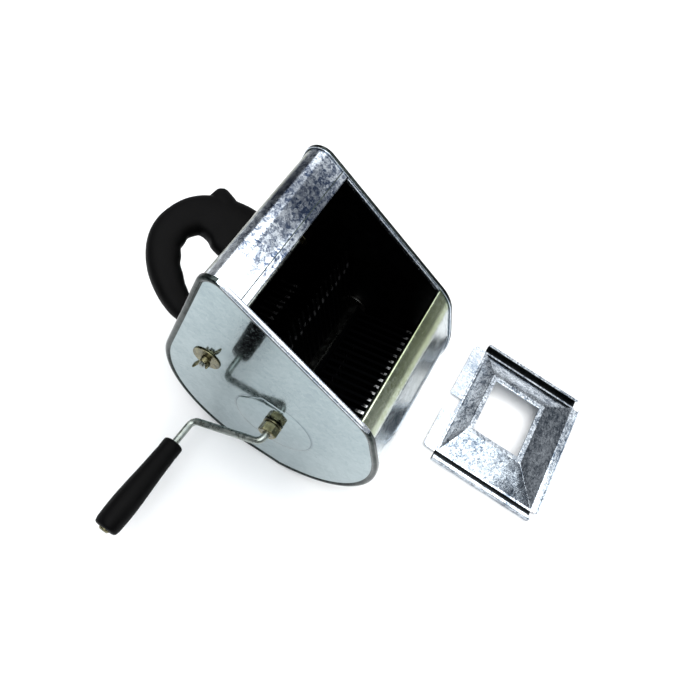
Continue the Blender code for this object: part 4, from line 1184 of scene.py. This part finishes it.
@dataclass
class Rotor(Fitting):
    """Square hub with four combs of spring tines, turned by a bent crank rod."""

    rows: RowTree
    hub_half: float = 0.012
    end_play: float = 0.0014
    tine_radius: float = 0.125
    tine_count: int = 19
    tine_pitch: float = 0.0114
    tine_width: float = 0.0045
    tine_sheet: float = 0.0010
    row_angle: float = math.radians(70.0)
    comb_foot: float = 0.0090
    comb_root: float = 0.0040
    clamp_width: float = 0.0060
    clamp_height: float = 0.0020
    rivet_radius: float = 0.0019
    rivet_height: float = 0.0011
    washer_radius: float = 0.014
    washer: float = 0.002
    nut_flats: float = 0.024
    far_nut: float = 0.010
    crank_nut: float = 0.014
    shaft_in_nut: float = 0.009
    rod_radius: float = 0.005
    standoff: float = 0.030
    arm: float = 0.1120
    crank_angle: float = math.radians(-30.0)
    lean: float = 0.008
    bend: float = 0.011
    grip_tilt: float = math.radians(3.0)
    grip_start: float = 0.040
    grip_length: float = 0.138
    grip_radius: float = 0.0172
    grip_neck: float = 0.0136
    retainer: float = 0.003
    retainer_radius: float = 0.0075

    def build(self) -> None:
        """Build the hub, combs, washers, nuts, crank and grip."""
        self.build_hub()
        for number in range(4):
            self.build_row(number)
        self.build_ends()
        self.build_crank()
        self.build_grip()

    def done(self, name: str, shape: bmesh.types.BMesh, finish: Any, slot: Slot, node: str,
             body: str = "rotor", sharp: float = 35.0) -> None:
        """Finish one piece of the rotor."""
        self.bench.piece(name, shape, finish, slot, node, body, sharp)

    def build_hub(self) -> None:
        """Square hub with broken edges and a round journal at each end."""
        casing, half, axle = self.casing, self.hub_half, self.casing.axle
        inner = casing.end - casing.flange - self.end_play
        crank_end = -(casing.half + self.nut_start() + self.shaft_in_nut)
        far_end = casing.half + self.nut_start() + self.far_nut + 0.0015
        radius, soft = casing.shaft_radius, 0.0008

        def ring(x: float, size: float, square: bool = False) -> list[tuple[float, float, float]]:
            """Return one ring of the hub, round or square with broken edges."""
            points = []
            for angle in turns(64):
                reach = size
                if square:
                    side = size / max(abs(math.cos(angle)), abs(math.sin(angle)))
                    reach = min(side, size * 1.30)
                way = angle + self.row_angle
                points.append((x, axle[0] + reach * math.cos(way), axle[1] + reach * math.sin(way)))
            return points

        rings = [ring(crank_end, radius - soft), ring(crank_end + soft, radius),
                 ring(-inner, radius), ring(-inner, half - soft, True),
                 ring(-inner + soft, half, True), ring(inner - soft, half, True),
                 ring(inner, half - soft, True), ring(inner, radius)]
        rings += [ring(*row) for row in thread(casing.half + 0.001, far_end, radius, 0.0015)]
        self.done("hub_and_shaft", loft(rings), self.finishes.hub, Slot.ROD, "rotor_hub")

    def nut_start(self) -> float:
        """Return the distance of a shaft nut from its cheek's face."""
        return self.gap + self.washer + self.gap

    def build_row(self, number: int) -> None:
        """One comb with its tines and one clamp bar with its rivets."""
        sheet, low = self.tine_sheet, self.hub_half + self.gap
        half_row = (self.tine_pitch * (self.tine_count - 1) + self.tine_width) / 2
        span = (-half_row, half_row)
        strip = folded([(self.comb_foot, low + sheet / 2), (-sheet / 2, low + sheet / 2),
                        (-sheet / 2, low + self.comb_root)], 0.0009, sheet)
        self.set_row(number, "tines", "tine_comb", bar(strip, span), self.tine_shape(),
                     Height=low + self.comb_root - 0.0004, Across=-sheet / 2,
                     Wander=(0.010, 0.004, 0.05), Seed=11 + number)
        bottom, soft = low + sheet + self.gap, 0.0004
        right = self.comb_foot - 0.0005
        left, top = right - self.clamp_width, bottom + self.clamp_height
        outline = [(left, bottom), (right, bottom), (right, top - soft), (right - soft, top),
                   (left + soft, top), (left, top - soft)]
        self.set_row(number, "clamp", "clamp_bar", bar(outline, span), self.rivet_shape(),
                     Height=top, Across=(left + right) / 2, Wander=(0.0, 0.0, 3.0), Seed=5)

    def set_row(self, number: int, name: str, node: str, base: bmesh.types.BMesh,
                part: bmesh.types.BMesh, **sizes: Any) -> None:
        """Set a part along a base and finish the row.

        Args:
            number: the row's number, from 0.
            name: start of the piece's name.
            node: start of the frame's node name.
            base: what the row stands on, with the hub's axis as X.
            part: what is repeated.
            sizes: the row tree's own inputs.
        """
        made = self.bench.loose(f"{name}_{number + 1}", base, False)
        one = self.bench.loose("one_part", part, False)
        spring = self.finishes.spring
        turn = self.row_angle + number * math.pi / 2 - math.pi / 2
        place = self.bench.origin + Vector((0.0, *self.casing.axle))
        self.rows.run(made, Part=one, Count=self.tine_count, Pitch=self.tine_pitch,
                      Turn=(turn, 0.0, 0.0), Place=tuple(place),
                      Finish=self.finishes.get(spring), **sizes)
        bpy.data.objects.remove(one)
        self.bench.finish(made, spring, Slot.SPRING, f"{node}_{number + 1}", "rotor", 30)

    def tine_shape(self) -> bmesh.types.BMesh:
        """Return one tine: a strip that narrows a little, with a rounded tip."""
        half, thick = self.tine_width / 2, self.tine_sheet / 2
        top = self.tine_radius - self.hub_half - self.gap - self.comb_root + 0.0004
        rows = ((0.0, 1.12), (0.003, 1.0), (top * 0.5, 0.93), (top - 0.0022, 0.84),
                (top - 0.0009, 0.66), (top - 0.0002, 0.36))
        outline = [(half * share, z) for z, share in rows]
        outline += [(-x, z) for x, z in reversed(outline)]
        return loft([[(x, y, z) for x, z in outline] for y in (-thick, thick)])

    def rivet_shape(self) -> bmesh.types.BMesh:
        """Return one low round rivet head, standing on Z."""
        radius, height = self.rivet_radius, self.rivet_height
        profile = ((-0.0003, radius), (height * 0.35, radius * 0.97), (height * 0.8, radius * 0.7),
                   (height, radius * 0.3))
        return lathe(profile, (0.0, 0.0, 0.0), 12, Vector((0.0, 0.0, 1.0)), solid=True)

    def build_ends(self) -> None:
        """Washers at both cheeks and the far end's nut."""
        casing, yellow = self.casing, self.finishes.yellow
        face, bore = casing.half + self.gap, casing.shaft_radius + self.gap
        for side in Side:
            low, high = ends(side, face, self.washer)
            shape = washer(casing.axle, bore, self.washer_radius, low, high)
            self.done(f"thrust_washer_{side.label}", shape, yellow, Slot.YELLOW,
                      f"shaft_washer_{side.label}")
        low = face + self.washer + self.gap
        shape = hexagon_nut(casing.axle, self.nut_flats, bore, low, low + self.far_nut)
        self.done("end_nut", shape, yellow, Slot.YELLOW, "shaft_nut_far_side", sharp=28)

    def corners(self) -> tuple[Vector, Vector, Vector, Vector]:
        """Return the crank rod's start and corners and the direction of its grip end."""
        way = Vector((0.0, math.cos(self.crank_angle), math.sin(self.crank_angle)))
        outward = Vector((-1.0, 0.0, 0.0))
        axis = Vector((-self.casing.half, *self.casing.axle))
        start = axis + outward * (self.nut_start() + self.shaft_in_nut + self.gap)
        first = axis + outward * self.standoff
        second = first + way * self.arm + outward * self.lean
        heading = outward * math.cos(self.grip_tilt) + way * math.sin(self.grip_tilt)
        return start, first, second, heading.normalized()

    def build_crank(self) -> None:
        """Crank nut, bent rod and the cap at the rod's end."""
        start, first, second, heading = self.corners()
        casing, finishes, bore = self.casing, self.finishes, self.rod_radius + self.gap
        low = casing.half + self.nut_start()
        nut = hexagon_nut(casing.axle, self.nut_flats, bore, -(low + self.crank_nut), -low)
        self.done("drive_nut", nut, finishes.yellow, Slot.YELLOW, "crank_nut", sharp=28)
        cap = self.grip_start + self.grip_length + self.gap
        end = second + heading * (cap + self.retainer)
        soft = 0.0006
        path = rounded([start, first, second, end], self.bend, 18)
        path.insert(-1, end - heading * soft)
        radii = [self.rod_radius] * (len(path) - 1) + [self.rod_radius - soft]
        self.done("crank_bar", sweep(path, radii, 32), finishes.rod, Slot.ROD, "crank_rod",
                  sharp=50)
        reach, thick = self.retainer_radius, self.retainer
        profile = ((0.0, bore), (0.0, reach - 0.0004), (0.0003, reach), (0.0009, reach),
                   (thick * 0.55, reach * 0.93), (thick * 0.85, reach * 0.80),
                   (thick, reach * 0.66), (thick, bore))
        self.done("grip_cap", lathe(profile, second + heading * cap, 48, heading),
                  finishes.yellow, Slot.YELLOW, "grip_retainer")

    def build_grip(self) -> None:
        """Waisted turning grip with a collar groove and a soft end."""
        _, _, second, heading = self.corners()
        neck, swell = self.grip_neck, self.grip_radius - self.grip_neck
        length, bore = self.grip_length, self.rod_radius + self.gap
        profile = [(0.0, bore + 0.0015), (0.0, neck - 0.0040), (0.0003, neck - 0.0022),
                   (0.0010, neck - 0.0007), (0.0022, neck + 0.0006), (0.0040, neck + 0.0010)]
        steps = 40
        for i in range(1, steps):
            part = i / steps
            lift = math.sin(math.pi * min(1.0, part * 0.72 + 0.02) ** 1.3) ** 2
            radius = neck + 0.001 + swell * lift
            for place in (0.105, 0.135):
                radius -= 0.0006 * math.exp(-((part - place) / 0.008) ** 2)
            profile.append((0.004 + (length - 0.008) * part, radius))
        tail = neck + swell * 0.80
        profile += [(length - 0.0032, tail), (length - 0.0016, tail - 0.0008),
                    (length - 0.0005, tail - 0.0022), (length, tail - 0.0040),
                    (length, bore + 0.0040), (length - 0.0015, bore + 0.0036),
                    (length - 0.0015, bore), (0.0015, bore)]
        shape = lathe(profile, second + heading * self.grip_start, 72, heading)
        self.done("turning_grip", shape, self.finishes.plastic, Slot.PLASTIC, "crank_grip",
                  "grip", 30)


# ---------------------------------------------------------------- striker bar

@dataclass
class Striker(Fitting):
    """Bar that the tines snap over, held in two slots by washers and wing nuts."""

    past_rim: float = 0.012
    plate_radius: float = 0.020
    plate: float = 0.0016
    hub_radius: float = 0.0065
    hub: float = 0.0075
    span: float = 0.0150
    height: float = 0.0075
    wing_sheet: float = 0.0024
    turn: float = math.radians(-47.0)
    inner_radius: float = 0.012
    inner_washer: float = 0.0015
    nut_flats: float = 0.013
    nut: float = 0.0040
    thread_length: float = 0.040
    pitch: float = 0.00125

    def build(self) -> None:
        """Build the bar and everything on it."""
        casing, gap = self.casing, self.gap
        radius, end = casing.striker_radius, casing.half + self.past_rim
        half = thread(end - self.thread_length, end, radius, self.pitch)
        profile = [(-x, r) for x, r in reversed(half)] + half
        self.bench.piece("snap_bar", lathe(profile, (0.0, *casing.striker), 32, solid=True),
                         self.finishes.rod, Slot.ROD, "striker_bar", "striker", 35)
        bore = radius + gap
        face = casing.half - casing.cheek_dish + gap
        inner = casing.half - casing.inside - gap
        nut = inner - self.inner_washer - gap
        for side in Side:
            for name, node, start, thick, reach, sides in (
                    ("slot_plate", "plate_washer", face, self.plate, self.plate_radius, 96),
                    ("back_washer", "inner_washer", inner, -self.inner_washer,
                     self.inner_radius, 64)):
                low, high = ends(side, start, thick)
                shape = washer(casing.striker, bore, reach, low, high, sides)
                self.small(f"{name}_{side.label}", shape, f"{node}_{side.label}")
            low, high = ends(side, nut, -self.nut)
            shape = hexagon_nut(casing.striker, self.nut_flats, bore, low, high)
            self.small(f"back_nut_{side.label}", shape, f"inner_nut_{side.label}")
            self.build_wing_nut(side, face + self.plate + gap)

    def small(self, name: str, shape: bmesh.types.BMesh, node: str) -> None:
        """Finish one plated part of the bar."""
        self.bench.piece(name, shape, self.finishes.yellow, Slot.YELLOW, node, "striker", 28)

    def build_wing_nut(self, side: Side, start: float) -> None:
        """Cast wing nut: a coned hub that runs into two rounded wings."""
        sign, striker, span = side.value, self.casing.striker, self.span
        bore, radius = self.casing.striker_radius + self.gap, self.hub_radius
        top = start + self.hub
        profile = ((start, bore), (start, radius - 0.0004), (start + 0.0004, radius),
                   (start + self.hub * 0.5, radius * 0.93), (top - 0.0006, radius * 0.84),
                   (top, radius * 0.76), (top, bore))
        shape = lathe([(sign * x, r) for x, r in profile], (0.0, *striker), 48)
        rows = [(radius - 0.0016, start + 0.0012), (span * 0.72, start + 0.0035),
                (span * 0.97, start + self.hub * 0.95), (span, top + self.height * 0.55),
                (span * 0.90, top + self.height), (span * 0.70, top + self.height * 0.72),
                (radius * 0.95, top + 0.0004), (radius - 0.0016, top - 0.0010)]
        outline = smooth_rows(rows, 5)
        middle = Vector((span * 0.78, top))
        for turn in (self.turn, self.turn + math.pi):
            along = Vector((0.0, math.cos(turn), math.sin(turn)))
            across = Vector((0.0, -math.sin(turn), math.cos(turn)))
            rings = []
            for half, shrink in ((-1.0, 0.0006), (-0.7, 0.0), (0.7, 0.0), (1.0, 0.0006)):
                ring = []
                for row in outline:
                    away = Vector(row) - middle
                    away -= away.normalized() * shrink
                    place = Vector((sign * (middle.y + away.y), *striker))
                    ring.append(place + along * (middle.x + away.x)
                                + across * half * self.wing_sheet / 2)
                rings.append(ring)
            loft(rings, shape=shape)
        made = self.bench.loose(f"butterfly_nut_{side.label}", shape)
        self.bench.cast(made, 0.00040, 3)
        body = "wing_nut_crank" if side is Side.CRANK else "wing_nut_far"
        self.bench.finish(made, self.finishes.yellow, Slot.YELLOW, f"wing_nut_{side.label}", body,
                          60)


# ---------------------------------------------------------------- reducer

@dataclass
class Reducer(Fitting):
    """Sheet frame with four sloping walls, which slips over the mouth on two channels."""

    short: float = 0.0090
    sheet: float = 0.0010
    level: float = 0.006
    rise: float = 0.026
    play_out: float = 0.0065
    play_in: float = 0.0010
    leg: float = 0.012
    rim: float = 0.003
    hole_length: float = 0.100
    hole_depth: float = 0.084
    hole_shift: float = 0.016
    lip: float = 0.009
    tab_reach: float = 0.022
    tab_inset: float = 0.0135
    tab_near: float = 0.078
    tab_notch: float = 0.030
    flange: float = 0.009
    turned: float = 0.0050

    def __post_init__(self) -> None:
        """Take the reducer's place from the frame and its size from the casing."""
        super().__post_init__()
        low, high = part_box("reducer_funnel")
        self.centre = Vector(((low.x + high.x) / 2, (low.y + high.y) / 2, low.z - self.level))
        slot = self.play_out + self.casing.rim_depth + self.play_in
        self.length = self.casing.width + 2 * (self.play_out + self.sheet)
        self.half = self.length / 2 - self.sheet - slot
        self.deep = (self.casing.mouth_length() - self.short) / 2

    def build(self) -> None:
        """Build the walls, both channels, the tab strip and the front lip."""
        self.build_walls()
        for side in Side:
            self.build_channel(side)
        self.build_tabs()
        self.build_lip()

    def done(self, name: str, shape: bmesh.types.BMesh, dress: Any, node: str,
             sharp: float) -> None:
        """Finish one piece of the reducer, whose shape is about its own centre."""
        bmesh.ops.translate(shape, verts=shape.verts, vec=self.centre)
        made = self.bench.loose(name, shape, False)
        self.bench.finish(made, dress, Slot.ZINC, node, "reducer", sharp)

    @staticmethod
    def rectangle(length: float, depth: float, shift: float, corner: float,
                  level: float) -> list[tuple[float, float, float]]:
        """Return a rectangle with rounded corners and points along its sides.

        Args:
            length: half its length along X.
            depth: half its depth along Y.
            shift: place of its centre along Y.
            corner: its corners' radius.
            level: its height.

        Returns:
            Its points in turn.
        """
        quarter = math.pi / 2
        arcs = []
        for k, (sx, sy) in enumerate(((1, -1), (1, 1), (-1, 1), (-1, -1))):
            centre = (sx * (length - corner), shift + sy * (depth - corner))
            start = k * quarter - quarter
            arcs.append(Casing.arc(centre, corner, start, start + quarter, 5))
        points = []
        for arc, following in zip(arcs, arcs[1:] + arcs[:1]):
            (ax, ay), (bx, by) = arc[-1], following[0]
            points += arc
            points += [(ax + (bx - ax) * i / 8, ay + (by - ay) * i / 8) for i in range(1, 8)]
        return [(x, y, level) for x, y in points]

    def build_walls(self) -> None:
        """Flat border, four sloping walls and the turned edge round the hole."""
        foot = (self.half - self.rim, self.deep - self.rim)
        hole = (self.hole_length / 2, self.hole_depth / 2)
        lip = (hole[0] + self.lip, hole[1] + self.lip)
        shift, rise, step = self.hole_shift, self.rise, 0.0011
        rows = [((self.half, self.deep), 0.0, 0.0, 0.0008, 0.0), (foot, 0.0007, 0.0, 0.0010, 0.0),
                (foot, -0.0003, 0.0, 0.0012, 0.0002)]
        for share in (0.03, 0.35, 0.65, 0.97):
            size = tuple(f + (l - f) * share for f, l in zip(foot, lip))
            rows.append((size, 0.0, shift * share, 0.0014, rise * share))
        rows += [(lip, -0.0006, shift, 0.0016, rise), (hole, 0.0020, shift, 0.0016, rise),
                 (hole, 0.0005, shift, 0.0014, rise - step * 0.2),
                 (hole, 0.0, shift, 0.0012, rise - step)]
        under, over = [
            [self.rectangle(size[0] + more, size[1] + more, s, corner, self.level + z + thick)
             for size, more, s, corner, z in rows] for thick in (0.0, self.sheet)]
        self.done("sloping_walls", loft(under + over[::-1], closed=True), self.finishes.reducer,
                  "reducer_funnel", 12)

    def build_channel(self, side: Side) -> None:
        """Folded U channel that slips over a cheek's rim."""
        sheet, base, high = self.sheet, self.sheet / 2, self.leg - self.sheet / 2
        outer, inner = self.length / 2 - sheet / 2, self.half - sheet * 1.5
        outline = folded([(outer - self.turned, high), (outer, high), (outer, base),
                          (inner, base), (inner, self.level - self.gap)], 0.0009, sheet)
        shape = loft([[(side.value * x, y, z) for x, z in outline] for y in evenly(self.deep, 8)])
        # Painted shade: faces inside the U get near-black zinc.
        for face in shape.faces:
            middle = face.calc_center_median()
            within = base < middle.z < self.leg - sheet * 0.9
            if within and inner < side.value * middle.x < outer:
                face.material_index = 1
        self.done(f"rim_channel_{side.label}", shape, (self.finishes.reducer, self.finishes.fold),
                  f"reducer_channel_{side.label}", 40)

    def build_tabs(self) -> None:
        """Strip along the back edge with two tabs and a notch between them."""
        total = self.length - 2 * self.tab_inset
        start = -total / 2
        root, edge, outside = self.deep - 0.006, self.deep + 0.001, self.deep + self.tab_reach
        first = start + self.tab_near
        second = first + self.tab_notch
        under = self.half - 2 * self.sheet - self.gap
        corner, nick, quarter = 0.006, 0.0015, math.pi / 2
        level = outside - corner
        outline = [(-under, root), (under, root), (under, edge), (start + total, edge)]
        outline += Casing.arc((start + total - corner, level), corner, 0.0, quarter, 5)
        outline += [(second + nick, outside), (second, outside - nick), (second, edge),
                    (first, edge), (first, outside - nick), (first - nick, outside)]
        outline += Casing.arc((start + corner, level), corner, quarter, 2 * quarter, 5)
        outline += [(start, edge), (-under, edge)]
        top, soft = self.level - self.gap, 0.00025
        rings = []
        for z, shrink in ((top - self.sheet, soft), (top - self.sheet + soft, 0.0),
                          (top - soft, 0.0), (top, soft)):
            scale_x, scale_y = 1 - shrink / total, 1 - shrink / outside
            rings.append([(x * scale_x, y * scale_y, z) for x, y in outline])
        # Painted highlight: the strip gets the pale zinc.
        self.done("tab_strip", loft(rings), self.finishes.tab, "reducer_tab_strip", 30)

    def build_lip(self) -> None:
        """Folded strip along the front edge, turned up at its outside."""
        low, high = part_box("reducer_front_lip")
        half, root, crest = (high.x - low.x) / 2, high.y - self.centre.y, high.z - self.centre.z
        top = self.level - self.gap - self.sheet / 2
        outside = -self.deep - self.flange + self.sheet / 2
        outline = folded([(root, top), (outside, top), (outside, crest)], 0.0012, self.sheet)
        shape = bar(outline, evenly(half, 8))
        self.done("front_fold", shape, self.finishes.reducer, "reducer_front_lip", 40)


# ---------------------------------------------------------------- studio

@dataclass
class Studio:
    """Plain pale floor, soft light and the camera."""

    finishes: Finishes
    origin: Vector
    spread: float = 14.0
    camera_at: tuple[float, float, float] = (-0.42109, -0.04895, 0.83485)
    aim: tuple[float, float, float] = (0.06039, -0.02429, -0.0412)
    roll: float = math.radians(30.27)
    lens: float = 35.58
    sensor: float = 36.0

    def build(self) -> None:
        """Build the floor, lights, surroundings and camera."""
        self.build_floor()
        self.build_lights()
        self.build_sky()
        self.build_camera()

    def build_floor(self) -> None:
        """One flat pale sheet just under the lowest point."""
        half, level = self.spread / 2, -0.0002
        corners = ((-half, -half), (half, -half), (half, half), (-half, half))
        mesh = bpy.data.meshes.new("studio_floor")
        mesh.from_pydata([(x, y, level) for x, y in corners], [], [(0, 1, 2, 3)])
        mesh.materials.append(self.finishes.get(self.finishes.floor))
        floor = bpy.data.objects.new("studio_floor", mesh)
        bpy.context.scene.collection.objects.link(floor)

    def add_light(self, name: str, at: Sequence[float], size: float, power: float,
                  shade: Colour = (1.0, 1.0, 1.0)) -> None:
        """Add one soft light that faces the drum.

        Args:
            name: the light's name.
            at: where it hangs.
            size: length of its sides.
            power: its power in watts.
            shade: its colour.
        """
        data = bpy.data.lights.new(name, "AREA")
        data.size = size
        data.energy = power
        data.color = shade
        light = bpy.data.objects.new(name, data)
        light.location = at
        way = Vector((0.0, 0.0, 0.15)) - Vector(at)
        light.rotation_euler = way.to_track_quat("-Z", "Y").to_euler()
        bpy.context.scene.collection.objects.link(light)

    def build_lights(self) -> None:
        """Key from the front, a broad light from above and two weaker ones from the sides."""
        self.add_light("key", (0.39, -1.02, 1.50), 1.1, 11.0)
        self.add_light("top", (0.35, 0.70, 2.4), 3.0, 84.0)
        self.add_light("high", (1.75, -0.80, 2.3), 2.0, 13.5)
        self.add_light("side", (-1.15, -0.10, 2.0), 1.6, 25.0, (0.95, 0.98, 1.0))

    def build_sky(self) -> None:
        """Surroundings that are pale at the horizon and darker overhead."""
        world = bpy.data.worlds.new("studio")
        world.use_nodes = True
        tree = Tree(world.node_tree)
        way = tree.node("ShaderNodeTexCoord", out="Generated")
        up = tree.node("ShaderNodeSeparateXYZ", {}, {0: way}, "Z")
        share = tree.ramp(up, (0.0, 0.62), (0.12, 0.55), (0.32, 0.36), (0.6, 0.16), (1.0, 0.08))
        colour = tree.mix(share, (0.02, 0.035, 0.06), (1.0, 1.0, 1.0))
        back = world.node_tree.nodes["Background"]
        world.node_tree.links.new(colour.socket, back.inputs["Color"])
        back.inputs["Strength"].default_value = 0.75
        bpy.context.scene.world = world

    def build_camera(self) -> None:
        """Camera that looks down on the crank's side."""
        data = bpy.data.cameras.new("camera")
        data.lens = self.lens
        data.sensor_width = self.sensor
        data.clip_start = 0.01
        camera = bpy.data.objects.new("camera", data)
        camera.location = self.origin + Vector(self.camera_at)
        ahead = Vector(self.aim) - Vector(self.camera_at)
        spin = Quaternion((0.0, 0.0, 1.0), self.roll)
        camera.rotation_euler = (ahead.to_track_quat("-Z", "Y") @ spin).to_euler()
        bpy.context.scene.collection.objects.link(camera)
        bpy.context.scene.camera = camera
        bpy.context.scene.view_settings.view_transform = "Standard"


def casing_origin() -> Vector:
    """Return the place of the belly's centre in the frame."""
    low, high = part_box("wrapper_sheet")
    axle_low, axle_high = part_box("shaft_washer_crank_side")
    axle = (axle_low + axle_high) / 2
    return Vector(((low.x + high.x) / 2, axle.y - Casing.axle[0], axle.z - Casing.axle[1]))


def main() -> None:
    """Build the pieces in order."""
    logging.basicConfig(level=logging.INFO, format="%(message)s")
    origin = casing_origin()
    finishes = Finishes(origin)
    bench = Bench(finishes, origin)
    casing = Casing(bench)
    casing.build()
    CarryHandle(casing).build()
    Rotor(casing, RowTree()).build()
    Striker(casing).build()
    Reducer(casing).build()
    Studio(finishes, bench.origin).build()
    LOG.info("%d pieces", bench.count)


if __name__ == "__main__":
    main()
